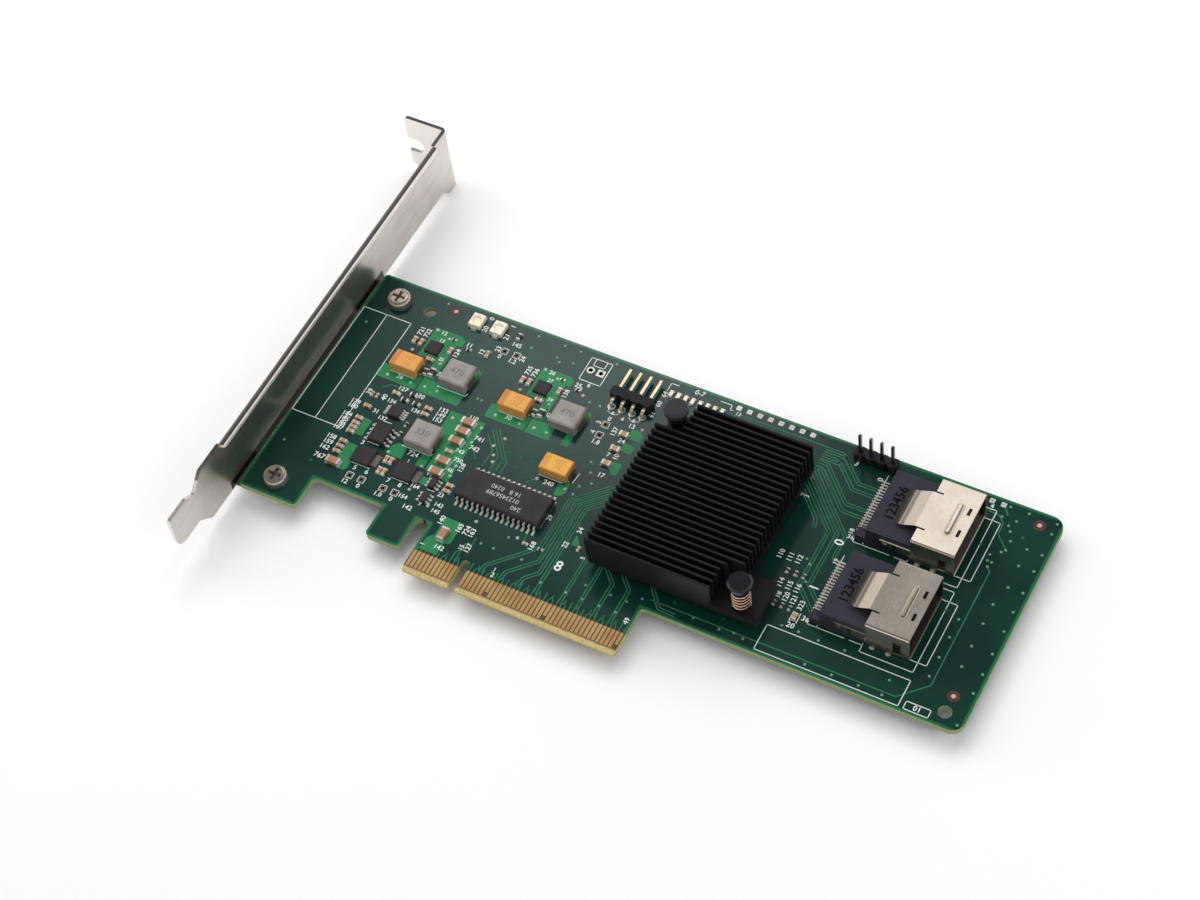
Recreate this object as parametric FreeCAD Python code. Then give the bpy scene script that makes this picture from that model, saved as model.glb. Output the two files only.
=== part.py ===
import FreeCAD, Part
import math
import os

# Low-profile expansion card that carries a storage controller.
# Origin: middle of the key slot at the bottom of the edge fingers, on the component face.
# X runs along the card away from the bracket, Y from the fingers to the top edge, Z out of
# the component face. Millimetres.

# ---- board ----
board_thickness = 1.57
board_length = 167.65
board_top = 68.9
bracket_gap = 1.4               # from the bracket's inner face to the board's edge
board_left = -56.6
foot_bottom = 4.43              # lower edge of the corner that holds the lower bracket tab
foot_right = -41.85
shoulder_left = 12.55           # board edge left of the fingers
shoulder_right = 12.56          # board edge right of the fingers
hook_left = -24.0
hook_right = -15.6
hook_notch_width = 3.4
hook_notch_top = 13.0
finger_right = 39.15
key_width = 1.9
key_top = 7.64
corner_radius = 3.0
small_radius = 1.0
bevel_depth = 0.45              # taken off each face at the finger tips
bevel_length = 1.3
tooling_hole_diameter = 3.0
tooling_hole_inset_x = 4.75
tooling_hole_inset_y = 3.54
tooling_hole_left_x = -41.5
tooling_hole_left_drop = 5.7

# ---- edge contacts ----
contact_pitch = 1.0
contact_width = 0.7
contact_top = 5.42
contact_foil = 0.05
contacts_before_key = 11
contacts_after_key = 38
first_contact_offset = 1.5      # from the key to the first contact on each side
short_contacts = (6, 20, 37)    # presence contacts on the component face, counted from the key
short_contact_loss = 1.1

# ---- bracket ----
sheet = 0.86
bend_inside_radius = 0.4
bracket_top = 103.6
bracket_tip = -16.4
bracket_high = 13.7             # edge of the plate on the component side
flare_depth = 2.2               # the plate widens by this much on its solder side
flare_start = 97.3
lip_depth = 2.06                # overall, from the outer face of the plate
lip_start = 4.3
lip_end = 97.5
plate_low_end = -4.4            # where the solder side starts to narrow
plate_high_end = -3.5           # where the component side starts to narrow
tongue_low = 1.4
tongue_high = 11.6
waist_high = 9.9                # component side of the narrowest place
waist_y = -7.8
shoulder_y = -9.8
top_tab_reach = 11.4
top_tab_chamfer = 3.0
tip_radius = 3.0
tip_high_radius = 1.0
plate_radius = 1.0
screw_notch_width = 4.42
screw_notch_depth = 4.2
screw_notch_z = 4.6
board_tab_spans = ((4.6, 14.0), (58.0, 67.5))
board_tab_reach = 12.7          # how far each board tab reaches under the board
board_tab_radius = 2.0
fold_depth = 3.0                # strip of plate that belongs to each fold

# ---- bracket screws ----
screw_y = (8.8, 62.99)
screw_x = -49.35
screw_diameter = 2.9
screw_head_diameter = 5.4
screw_head_height = 2.1
screw_protrusion = 0.6
board_hole_clearance = 0.2
thread_clearance = 0.03
recess_width = 0.75
recess_length = 3.2
recess_depth = 1.1

# ---- controller, thermal pad and heat sink ----
pin_low_offset = (1.4, 2.85)    # lower push pin, from the fins' lower right corner
pin_high_offset = (3.1, -4.2)   # upper push pin, from the fins' upper left corner
ball_height = 0.4
ball_diameter = 0.75
ball_rows = 9
ball_pitch = 2.8
substrate_side = 27.0
substrate_thickness = 0.6
mould_side = 24.0
mould_thickness = 0.9
pad_side = 22.0
pad_thickness = 0.2
sink_left = 24.2
sink_width = 33.6
sink_bottom_y = 17.05
fin_count = 26
fin_pitch = 1.62
fin_thickness = 0.55
sink_base = 1.95
fin_height = 6.45
fin_end_margin = 0.2
ear_reach = 6.2                 # corner of the base that holds the lower push pin
ear_length = 10.55
pocket_low_offset = (-5.8, 4.3)     # inner corner of each fin pocket, from its push pin
pocket_high_offset = (3.0, -3.3)
pocket_radius = 1.6

# ---- push pins ----
pin_shaft_diameter = 2.6
pin_hole_clearance = 0.2
pin_head_diameter = 5.5
pin_head_thickness = 1.3
pin_collar_height = 1.3
pin_collar_diameter = 3.9
pin_head_rise = 2.4             # top of the head above the fins
barb_diameter = 3.7
barb_length = 3.0
barb_tip_diameter = 1.4
barb_slot = 0.7
spring_wire = 0.5
spring_diameter = 4.3           # outside
spring_pitch = 1.05
spring_clearance = 0.05

# ---- mini SAS ports ----
port_pitch = 22.35
port_low_y = 32.3
port_gap = 17.1                 # from the heat sink's right side to the back of the housings
cage_length = 9.8
cage_width = 17.36
cage_height = 8.0
cage_sheet = 0.3
cage_fold_radius = 0.5
cage_floor_gap = 0.1
housing_length = 10.4
housing_height = 5.5
nose_depth = 3.4                # how far the housing reaches into the cage
nose_height = 6.4
foot_length = 2.5
foot_width = 2.4
foot_height = 2.0
card_slot_width = 15.7
card_slot_height = 2.0
rear_wall = 1.5
leaf_width = 9.4
leaf_slot = 0.4
leaf_root = 1.6
leaf_points = ((1.9, 0.0), (-0.7, 0.0), (-3.5, -1.4), (-4.4, -1.65), (-5.3, -1.3))
arm_length = 7.0
arm_low = 1.5
arm_high = 4.1
arm_tip_low = 2.9
arm_window = (1.2, 0.6)
window_size = (0.7, 1.9)
window_spacing = 5.85
window_inset = 1.5
rib_length = 7.6
rib_width = 1.1
rib_rise = 0.25
rib_inset = 3.7
tail_width = 0.8
tail_length = 2.4
tail_inset = (1.7, 5.3)
side_window = (6.1, 7.9, 1.3, 5.5)
tail_hole_diameter = 1.2
lead_count = 18
lead_pitch = 0.78
lead_width = 0.36
lead_thickness = 0.18
lead_reach = 2.9
lead_knee = 1.1                 # from the back of the housing to where a lead turns down
lead_rise = 1.2
lead_offset_y = 1.0             # the row sits this far above the port's centre line

# ---- memory chip ----
memory_centre = (-0.15, 24.4)
memory_size = (20.7, 7.5)
memory_height = 2.4
memory_lead_count = 32
memory_lead_pitch = 1.27
memory_lead_span = 10.3

# ---- regulator cells ----
cell_origin = (-25.75, 48.95)   # centre of the first cell's inductor
cell_pitch = 28.0
third_inductor = (-24.45, 31.25)
third_tantalum = (6.45, 36.1)
inductor_size = (6.5, 6.3, 3.0)
inductor_terminal = (0.25, 3.0, 1.6)
tantalum_size = (6.7, 4.3, 2.8)
tantalum_terminal = (0.3, 2.4, 1.3)
tantalum_offset = (-12.45, -1.55)
regulator_offset = (-9.45, 5.35)
regulator_size = (3.3, 3.3, 0.9)

# ---- other packages ----
standoff = 0.1
so8_centre = (-34.0, 28.45)
so8_size = (3.9, 4.9)
so8_height = 1.55
so8_span = 6.0
so8_lead_pitch = 1.27
msop_centre = (-34.1, 35.2)
msop_size = (3.0, 3.0)
msop_height = 1.0
msop_span = 4.9
msop_lead_pitch = 0.65
power_centres = ((-34.5, 21.9), (-24.0, 21.9))
power_size = (4.6, 4.4)
power_height = 1.05
power_tab = (1.6, 3.0, 0.35)
sot_centres = ((-16.7, 21.9), (-16.6, 17.9))
sot_size = (1.5, 2.6)
sot_height = 1.0
sot_span = 2.9

# ---- headers ----
pin_pitch = 2.54
pin_side = 0.64
pin_hole_diameter = 1.05
pins_per_header = 4
block_height = 2.54
angle_header_x = 9.1
angle_header_y = 56.4
angle_block_gap = 1.4
angle_pin_height = 1.45
angle_pin_free = 5.9
post_header_x = 64.8
post_header_y = 66.1
post_height = 8.4
tail_below_board = 1.3

# ---- small parts: length, width, height, and the length of one end cap ----
size_0402 = (1.05, 0.55, 0.4, 0.22)
size_0603 = (1.65, 0.85, 0.6, 0.32)
size_0805 = (2.05, 1.25, 0.8, 0.42)
size_1206 = (3.2, 1.65, 1.2, 0.5)
lamp_size = (3.0, 3.5, 1.4)
lamp_terminal = (1.3, 0.45, 0.7)
lamp_window = (1.8, 2.4, 0.6)   # diameter at the bottom and the top, and depth
lamp_centres = ((-29.8, 64.8), (-24.2, 64.8))
row_lamp_start = (19.7, 64.6)
row_lamp_count = 8
row_lamp_pitch = 1.78

# ---- holes and test points ----
test_hole_diameter = 0.7
test_ring = (1.5, 0.06)         # diameter and height of the solder round a test hole
test_points = (
    (-34.9, 16.4), (-31.9, 16.4), (-26.4, 16.4), (-23.4, 16.4),
    (-20.2, 60.2), (-17.1, 60.2), (10.25, 51.4), (10.25, 48.4),
)
spare_holes = ((0.14, 63.4), (2.7, 63.4))

# ---- places of small parts in a regulator cell, from the middle of its inductor ----
cell_capacitors = (
    ((-14.75, 5.75), size_0603, True), ((-13.05, 5.75), size_0603, True),
    ((-5.65, 6.25), size_0603, True), ((-8.75, 2.25), size_0603, False),
)
cell_resistors = (
    ((-7.8, -1.25), size_0603, True), ((-6.4, -0.85), size_0805, True),
    ((-2.05, 8.25), size_0402, False), ((-6.5, 9.4), size_0402, False),
)

# ---- places of the other small parts ----
filter_start = (-17.6, 39.2)    # column of large capacitors beside the power switches
filter_drops = (0, 2.6, 5.5, 11.3, 14.5)
supply_start = (15.3, 50.5)     # column of capacitors left of the heat sink
supply_count = 3
supply_pitch = 4.2
left_column_x = -40.9
left_column_y = (34.2, 30.6, 29.1, 27.9, 26.7, 23.7, 22.2, 20.7)
large_capacitors = (((-40.0, 17.9), size_1206, False), ((-8.0, 11.1), size_1206, True))
small_capacitors = (
    ((-17.9, 30.8), size_0603, False), ((-29.5, 23.3), size_0603, True), ((-28.3, 23.3), size_0603, True),
    ((-29.5, 20.1), size_0603, True), ((-28.3, 20.1), size_0603, True), ((-36.7, 39.9), size_0603, False),
    ((-27.9, 39.1), size_0603, False), ((-27.9, 37.4), size_0603, False), ((-13.1, 22.9), size_0603, False),
    ((-13.1, 21.3), size_0603, False), ((-41.6, 37.6), size_0402, True), ((-40.4, 37.6), size_0402, True),
    ((20.3, 20.0), size_0402, True), ((9.2, 16.5), size_0402, False), ((-23.2, 57.7), size_0603, True),
)
small_resistors = (
    ((-34.0, 39.0), size_0603, False), ((-31.0, 39.0), size_0603, False), ((-32.8, 41.0), size_0603, False),
    ((-19.0, 65.0), size_0603, True), ((12.9, 16.5), size_0402, False), ((-30.3, 33.3), size_0402, True),
    ((-30.3, 30.5), size_0402, True), ((21.0, 36.0), size_0402, True), ((21.0, 33.0), size_0402, True),
)
# from the back of the lower port's housing and the middle of the port
port_capacitor = ((-5.6, -8.5), size_0603, True)
port_resistors = (
    ((-11.9, 1.2), size_0402, True), ((-10.0, 1.2), size_0402, True), ((-8.1, 1.2), size_0402, True),
    ((-11.1, -7.1), size_0402, True), ((-9.3, -7.1), size_0402, True), ((-7.5, -7.1), size_0402, True),
)

# ---- worked out ----
board_bottom = -board_thickness
board_right = board_left + board_length
inner_face = board_left - bracket_gap
outer_face = inner_face - sheet
plate_low = board_bottom - sheet
finger_left = hook_right + hook_notch_width
sink_bottom = ball_height + substrate_thickness + mould_thickness + pad_thickness
fin_base = sink_bottom + sink_base
sink_top = fin_base + fin_height
sink_right = sink_left + sink_width
sink_depth = (fin_count - 1) * fin_pitch + fin_thickness
sink_top_y = sink_bottom_y + sink_depth
pin_low = (sink_right + pin_low_offset[0], sink_bottom_y + pin_low_offset[1])
pin_high = (sink_left + pin_high_offset[0], sink_top_y + pin_high_offset[1])
pocket_low = (pin_low[0] + pocket_low_offset[0], pin_low[1] + pocket_low_offset[1])
pocket_high = (pin_high[0] + pocket_high_offset[0], pin_high[1] + pocket_high_offset[1])
chip_centre = ((pin_low[0] + pin_high[0]) / 2, (pin_low[1] + pin_high[1]) / 2)
pin_hole_diameter_in_base = pin_shaft_diameter + 2 * pin_hole_clearance
head_top = sink_top + pin_head_rise
collar_bottom = head_top - pin_head_thickness - pin_collar_height
housing_left = sink_right + port_gap
cage_left = housing_left + housing_length
cage_right = cage_left + cage_length
post_pins = [post_header_x + pin_pitch * i for i in range(pins_per_header)]
angle_pins = [angle_header_x + pin_pitch * i for i in range(pins_per_header)]
ports = (port_low_y + port_pitch, port_low_y)
cells = [(cell_origin[0] + cell_pitch * i, cell_origin[1]) for i in range(2)]
overlap = 0.5                   # how far cutters run past what they cut


def vec(x, y, z=0.0):
    return FreeCAD.Vector(x, y, z)


def box(x0, x1, y0, y1, z0, z1):
    return Part.makeBox(x1 - x0, y1 - y0, z1 - z0, vec(x0, y0, z0))


def centred_box(centre, size, z0):
    x, y = centre
    return box(x - size[0] / 2, x + size[0] / 2, y - size[1] / 2, y + size[1] / 2, z0, z0 + size[2])


def cylinder(x, y, z0, z1, diameter):
    return Part.makeCylinder(diameter / 2, z1 - z0, vec(x, y, z0))


def cone(x, y, z0, z1, diameter_low, diameter_high):
    return Part.makeCone(diameter_low / 2, diameter_high / 2, z1 - z0, vec(x, y, z0))


def rounded_face(points):
    """Face inside a closed outline of (a, b, corner radius), in the XY plane."""
    corners = []
    count = len(points)
    for i, (a, b, radius) in enumerate(points):
        here = vec(a, b)
        if radius <= 0:
            corners.append((here, None, here))
            continue
        before = (vec(*points[i - 1][:2]) - here).normalize()
        after = (vec(*points[(i + 1) % count][:2]) - here).normalize()
        half = before.getAngle(after) / 2
        reach = radius / math.tan(half)
        middle = (before + after).normalize()
        bulge = here + middle * (radius / math.sin(half) - radius)
        corners.append((here + before * reach, bulge, here + after * reach))
    edges = []
    for i, (start, bulge, end) in enumerate(corners):
        if bulge is not None:
            edges.append(Part.Arc(start, bulge, end).toShape())
        following = corners[(i + 1) % count][0]
        if end.distanceToPoint(following) > 1e-6:
            edges.append(Part.LineSegment(end, following).toShape())
    return Part.Face(Part.Wire(edges))


def slab(points, z0, z1):
    """Outline in X and Y, thick in Z."""
    solid = rounded_face(points).extrude(vec(0, 0, z1 - z0))
    solid.translate(vec(0, 0, z0))
    return solid


def along_y(points, y0, y1):
    """Outline in X and Z, long in Y."""
    solid = rounded_face(points).extrude(vec(0, 0, y0 - y1))
    solid.rotate(vec(0, 0, 0), vec(1, 0, 0), 90)
    solid.translate(vec(0, y0, 0))
    return solid


def along_x(points, x0, x1):
    """Outline in Y and Z, long in X."""
    solid = rounded_face(points).extrude(vec(0, 0, x1 - x0))
    solid.rotate(vec(0, 0, 0), vec(1, 1, 1), 120)
    solid.translate(vec(x0, 0, 0))
    return solid


def fuse(solids):
    joined = solids[0]
    if len(solids) > 1:
        joined = solids[0].fuse(solids[1:]).removeSplitter()
    return joined


def group(solids):
    """Separate solids kept in one node."""
    flat = []
    for solid in solids:
        flat.extend(solid.Solids)
    return Part.makeCompound(flat)


def save(name, shape):
    shape.exportStep(os.path.join("parts", name + ".step"))
    print(name, len(shape.Solids), "solids, valid", shape.isValid())


# ---- board ----
def board_outline():
    """Outline of the board, counter-clockwise, with a corner radius at each point."""
    half_key = key_width / 2
    finger_radius = 0.5
    notch_radius = hook_notch_width / 2 - 0.05
    return [
        (board_left, foot_bottom, small_radius),
        (foot_right, foot_bottom, small_radius),
        (foot_right, shoulder_left, small_radius),
        (hook_left, shoulder_left, small_radius),
        (hook_left, foot_bottom, small_radius),
        (hook_right, foot_bottom, small_radius),
        (hook_right, hook_notch_top, notch_radius),
        (finger_left, hook_notch_top, notch_radius),
        (finger_left, 0, finger_radius),
        (-half_key, 0, 0),
        (-half_key, key_top, half_key - 0.05),
        (half_key, key_top, half_key - 0.05),
        (half_key, 0, 0),
        (finger_right, 0, finger_radius),
        (finger_right, shoulder_right, small_radius),
        (board_right, shoulder_right, corner_radius),
        (board_right, board_top, corner_radius),
        (board_left, board_top, small_radius),
    ]


def finger_bevels():
    """Wedges that thin the finger edge from both faces."""
    drop = bevel_depth * (bevel_length + overlap) / bevel_length
    front = [(-overlap, -drop, 0), (bevel_length, 0, 0), (bevel_length, overlap, 0), (-overlap, overlap, 0)]
    back = [(y, board_bottom - z, 0) for y, z, _ in reversed(front)]
    return [along_x(face, finger_left - overlap, finger_right + overlap) for face in (front, back)]


def port_tails():
    """Middle of every shell tail that passes through the board."""
    reach = (cage_width - cage_sheet) / 2
    return [
        (cage_left + inset, port + side * reach)
        for port in ports
        for inset in tail_inset
        for side in (-1, 1)
    ]


def board_holes():
    tooling_low = (board_right - tooling_hole_inset_x, shoulder_right + tooling_hole_inset_y)
    tooling_high = (tooling_hole_left_x, board_top - tooling_hole_left_drop)
    holes = [(tooling_low, tooling_hole_diameter), (tooling_high, tooling_hole_diameter)]
    holes += [((screw_x, y), screw_diameter + 2 * board_hole_clearance) for y in screw_y]
    holes += [(pin, pin_hole_diameter_in_base) for pin in (pin_low, pin_high)]
    holes += [((x, angle_header_y), pin_hole_diameter) for x in angle_pins]
    holes += [((x, post_header_y), pin_hole_diameter) for x in post_pins]
    holes += [(tail, tail_hole_diameter) for tail in port_tails()]
    holes += [(point, test_hole_diameter) for point in test_points]
    holes += [(point, pin_hole_diameter) for point in spare_holes]
    return holes


def make_board():
    board = slab(board_outline(), board_bottom, 0)
    z0 = board_bottom - overlap
    cutters = [cylinder(x, y, z0, overlap, diameter) for (x, y), diameter in board_holes()]
    return board.cut(cutters + finger_bevels())


def contact_columns():
    before = [-first_contact_offset - contact_pitch * i for i in range(contacts_before_key)]
    after = [first_contact_offset + contact_pitch * i for i in range(contacts_after_key)]
    return before, after


def make_contacts(z0, z1, shortened):
    before, after = contact_columns()
    half = contact_width / 2
    pads = [box(x - half, x + half, bevel_length, contact_top, z0, z1) for x in before]
    for number, x in enumerate(after):
        loss = short_contact_loss if number in shortened else 0
        pads.append(box(x - half, x + half, bevel_length + loss, contact_top, z0, z1))
    return group(pads)


# ---- bracket and its screws ----
def bracket_plate():
    turn = bracket_high - waist_high
    outline = [
        (bracket_tip, tongue_low, tip_radius),
        (waist_y - 0.4, tongue_low, 0.5),
        (plate_low_end, plate_low, plate_radius),
        (flare_start, plate_low, plate_radius),
        (flare_start + flare_depth, plate_low - flare_depth, plate_radius),
        (bracket_top - fold_depth, plate_low - flare_depth, 0),
        (bracket_top - fold_depth, bracket_high, 0),
        (plate_high_end, bracket_high, plate_radius),
        (plate_high_end - turn, waist_high, 0.5),
        (shoulder_y, tongue_high, 0.5),
        (bracket_tip, tongue_high, tip_high_radius),
    ]
    return along_x(outline, outer_face, inner_face)


def folded(edge, start, reach, direction):
    """Section of a right-angle fold: the plate comes from start and turns at edge towards +X."""
    inner = edge - direction * sheet
    return [
        (outer_face, start, 0),
        (outer_face, edge, bend_inside_radius + sheet),
        (outer_face + reach, edge, 0),
        (outer_face + reach, inner, 0),
        (inner_face, inner, bend_inside_radius),
        (inner_face, start, 0),
    ]


def bracket_lip():
    """Stiffening lip along the component-side edge of the plate."""
    strip = along_y(folded(bracket_high, bracket_high - fold_depth, lip_depth, 1), lip_start, lip_end)
    ends = [
        (outer_face - overlap, lip_start, 0),
        (outer_face + lip_depth, lip_start, 1.0),
        (outer_face + lip_depth, lip_end, 1.0),
        (outer_face - overlap, lip_end, 0),
    ]
    return strip.common(slab(ends, plate_low, bracket_high + overlap))


def board_tab(span):
    y0, y1 = span
    reach = board_tab_reach + sheet
    strip = along_y(folded(plate_low, plate_low + fold_depth, reach, -1), y0, y1)
    ends = [
        (outer_face - overlap, y0, 0),
        (outer_face + reach, y0, board_tab_radius),
        (outer_face + reach, y1, board_tab_radius),
        (outer_face - overlap, y1, 0),
    ]
    return strip.common(slab(ends, plate_low - overlap, bracket_high))


def top_tab():
    """The plate turns outward here, to lie under the screw of the case."""
    end = outer_face - top_tab_reach + sheet
    low = plate_low - flare_depth
    half = screw_notch_width / 2
    section = [
        (inner_face, bracket_top - fold_depth, 0),
        (inner_face, bracket_top, bend_inside_radius + sheet),
        (end, bracket_top, 0),
        (end, bracket_top - sheet, 0),
        (outer_face, bracket_top - sheet, bend_inside_radius),
        (outer_face, bracket_top - fold_depth, 0),
    ]
    outline = [
        (inner_face, low, 0),
        (end + top_tab_chamfer, low, small_radius),
        (end, low + top_tab_chamfer, small_radius),
        (end, screw_notch_z - half, 0),
        (end + screw_notch_depth, screw_notch_z - half, half - 0.05),
        (end + screw_notch_depth, screw_notch_z + half, half - 0.05),
        (end, screw_notch_z + half, 0),
        (end, bracket_high, small_radius),
        (inner_face, bracket_high, 0),
    ]
    fold = slab(section, low, bracket_high)
    return fold.common(along_y(outline, bracket_top - fold_depth, bracket_top))


def make_bracket():
    plate = bracket_plate()
    low = plate_low + fold_depth
    high = bracket_high - fold_depth
    x0 = outer_face - overlap
    x1 = inner_face + overlap
    gaps = [box(x0, x1, y0, y1, plate_low - overlap, low) for y0, y1 in board_tab_spans]
    gaps.append(box(x0, x1, lip_start, lip_end, high, bracket_high + overlap))
    tabs = [board_tab(span) for span in board_tab_spans]
    bracket = fuse([plate.cut(gaps), bracket_lip(), top_tab()] + tabs)
    diameter = screw_diameter + 2 * thread_clearance
    holes = [cylinder(screw_x, y, plate_low - overlap, board_bottom + overlap, diameter) for y in screw_y]
    return bracket.cut(holes)


def make_screw(y):
    """Pan-head screw with a cross recess, through the board into a bracket tab."""
    end = plate_low - screw_protrusion
    shank = cylinder(screw_x, y, end, 0, screw_diameter)
    head = cylinder(screw_x, y, 0, screw_head_height, screw_head_diameter)
    head = head.makeFillet(0.8, [head.Edges[0]])
    screw = shank.fuse(head).removeSplitter()
    half = recess_width / 2
    reach = recess_length / 2
    z0 = screw_head_height - recess_depth
    z1 = screw_head_height + overlap
    slots = [
        box(screw_x - reach, screw_x + reach, y - half, y + half, z0, z1),
        box(screw_x - half, screw_x + half, y - reach, y + reach, z0, z1),
    ]
    return screw.cut(slots)


# ---- controller package and heat sink ----
def make_solder_balls():
    """Only the outer rows of the ball grid, which are the ones that can be seen."""
    start = -(ball_rows - 1) / 2 * ball_pitch
    balls = []
    for i in range(ball_rows):
        for j in range(ball_rows):
            if i in (0, ball_rows - 1) or j in (0, ball_rows - 1):
                x = chip_centre[0] + start + i * ball_pitch
                y = chip_centre[1] + start + j * ball_pitch
                balls.append(cylinder(x, y, 0, ball_height, ball_diameter))
    return group(balls)


def square_layer(side, thickness, z0):
    return centred_box(chip_centre, (side, side, thickness), z0)


def make_heat_sink():
    ear_end = sink_right + ear_reach
    outline = [
        (sink_left, sink_bottom_y, 0.4),
        (ear_end, sink_bottom_y, small_radius),
        (ear_end, sink_bottom_y + ear_length, small_radius),
        (sink_right, sink_bottom_y + ear_length, 0),
        (sink_right, sink_top_y, 0.4),
        (sink_left, sink_top_y, 0.4),
    ]
    base = slab(outline, sink_bottom, fin_base)
    x1 = sink_right - fin_end_margin
    fins = []
    for i in range(fin_count):
        y = sink_bottom_y + i * fin_pitch
        fins.append(box(sink_left, x1, y, y + fin_thickness, fin_base - 0.01, sink_top))
    low = [
        (pocket_low[0], sink_bottom_y - overlap, 0),
        (ear_end, sink_bottom_y - overlap, 0),
        (ear_end, pocket_low[1], 0),
        (pocket_low[0], pocket_low[1], pocket_radius),
    ]
    high = [
        (sink_left - overlap, pocket_high[1], 0),
        (pocket_high[0], pocket_high[1], pocket_radius),
        (pocket_high[0], sink_top_y + overlap, 0),
        (sink_left - overlap, sink_top_y + overlap, 0),
    ]
    pockets = [slab(corner, fin_base, sink_top + overlap) for corner in (low, high)]
    solid = fuse([base] + fins).cut(pockets)
    diameter = pin_hole_diameter_in_base
    holes = [cylinder(x, y, sink_bottom - overlap, fin_base + overlap, diameter) for x, y in (pin_low, pin_high)]
    return solid.cut(holes)


def make_push_pin(x, y):
    """Head, collar, shaft and a split barb that snaps under the board."""
    rim = 0.45
    barb_top = board_bottom - 0.05
    barb_end = board_bottom - barb_length
    barb_middle = barb_top - barb_length / 3
    head_bottom = head_top - pin_head_thickness
    parts = [
        cone(x, y, barb_end, barb_middle, barb_tip_diameter, barb_diameter),
        cylinder(x, y, barb_middle, barb_top, barb_diameter),
        cylinder(x, y, barb_top, collar_bottom, pin_shaft_diameter),
        cylinder(x, y, collar_bottom, head_bottom, pin_collar_diameter),
        cylinder(x, y, head_bottom, head_top - rim, pin_head_diameter),
        cone(x, y, head_top - rim, head_top, pin_head_diameter, pin_head_diameter - 2 * rim),
    ]
    pin = fuse(parts)
    reach = barb_diameter
    slot = box(x - reach, x + reach, y - barb_slot / 2, y + barb_slot / 2, barb_end - overlap, -0.4)
    return pin.cut(slot)


def make_pin_spring(x, y):
    """Coil spring between the heat sink's base and the collar of a push pin."""
    radius = (spring_diameter - spring_wire) / 2
    height = collar_bottom - fin_base - spring_wire - 2 * spring_clearance
    path = Part.Wire(Part.makeHelix(spring_pitch, height, radius))
    section = Part.Wire(Part.makeCircle(spring_wire / 2, vec(radius, 0, 0), vec(0, 1, 0)))
    coil = path.makePipeShell([section], True, True)
    coil.translate(vec(x, y, fin_base + spring_wire / 2 + spring_clearance))
    return coil


# ---- mini SAS ports ----
def lead_rows():
    start = lead_offset_y - (lead_count - 1) / 2 * lead_pitch
    return [start + lead_pitch * i for i in range(lead_count)]


def cage_wall(half, low, high, radius, x0, x1):
    section = [(-half, low, radius), (half, low, radius), (half, high, radius), (-half, high, radius)]
    return along_x(section, x0, x1)


def cage_side(side):
    """Pieces of one side wall: the arm along the housing, its bent catch and its tails."""
    wall = cage_width / 2
    y0, y1 = sorted((side * wall, side * (wall - cage_sheet)))
    arm = [
        (cage_left - arm_length, arm_tip_low),
        (cage_left + 0.6, arm_low),
        (cage_left + 0.6, arm_high),
        (cage_left - arm_length, arm_high),
    ]
    strip = along_y([(x, z, 0) for x, z in arm], y0, y1)
    middle = (arm_tip_low + arm_high) / 2
    window_left = cage_left - arm_length + 0.6
    window = box(
        window_left, window_left + arm_window[0], y0 - overlap, y1 + overlap,
        middle - arm_window[1] / 2, middle + arm_window[1] / 2,
    )
    x0, x1, z0, z1 = side_window
    lean = side * 0.9
    catch = along_x(
        [(y0, z1, 0), (y1, z1, 0), (y1 - lean, z0 + 0.4, 0), (y0 - lean, z0 + 0.4, 0)],
        cage_left + x0 + 0.2, cage_left + x1 - 0.2,
    )
    half = tail_width / 2
    tails = []
    for inset in tail_inset:
        x = cage_left + inset
        tails.append(box(x - half, x + half, y0, y1, -tail_length, cage_floor_gap + cage_fold_radius + 0.2))
    return [strip.cut(window), catch] + tails


def make_cage(port_y):
    """Folded shell with a sprung leaf over the housing."""
    wall = cage_width / 2
    inside = wall - cage_sheet
    low = cage_floor_gap
    outer = cage_wall(wall, low, cage_height, cage_fold_radius, cage_left, cage_right)
    room = cage_wall(
        inside, low + cage_sheet, cage_height - cage_sheet, cage_fold_radius - cage_sheet,
        cage_left - overlap, cage_right + overlap,
    )
    leaf_half = leaf_width / 2
    slot_out = leaf_half + leaf_slot
    root = cage_left + leaf_root
    cutters = [room]
    cutters.append(box(cage_left - overlap, root, -slot_out, slot_out, cage_height - 2 * cage_sheet, cage_height + overlap))
    for side in (-1, 1):
        y = side * window_spacing / 2
        x = cage_right - window_inset
        size = (window_size[0], window_size[1], 4 * cage_sheet)
        cutters.append(centred_box((x, y), size, cage_height - 2 * cage_sheet))
    x0, x1, z0, z1 = side_window
    cutters.append(box(cage_left + x0, cage_left + x1, -wall - overlap, wall + overlap, z0, z1))
    above = [(cage_left + x, cage_height + z, 0) for x, z in leaf_points]
    below = [(x, z - cage_sheet, 0) for x, z, _ in reversed(above)]
    leaf = along_y(above + below, -leaf_half, leaf_half)
    rib = [
        (cage_right - rib_inset - rib_width / 2, -rib_length / 2, 0.5),
        (cage_right - rib_inset + rib_width / 2, -rib_length / 2, 0.5),
        (cage_right - rib_inset + rib_width / 2, rib_length / 2, 0.5),
        (cage_right - rib_inset - rib_width / 2, rib_length / 2, 0.5),
    ]
    bump = slab(rib, cage_height - 0.1, cage_height + rib_rise)
    cage = fuse([outer.cut(cutters), leaf, bump] + cage_side(-1) + cage_side(1))
    cage.translate(vec(0, port_y, 0))
    return cage


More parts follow.
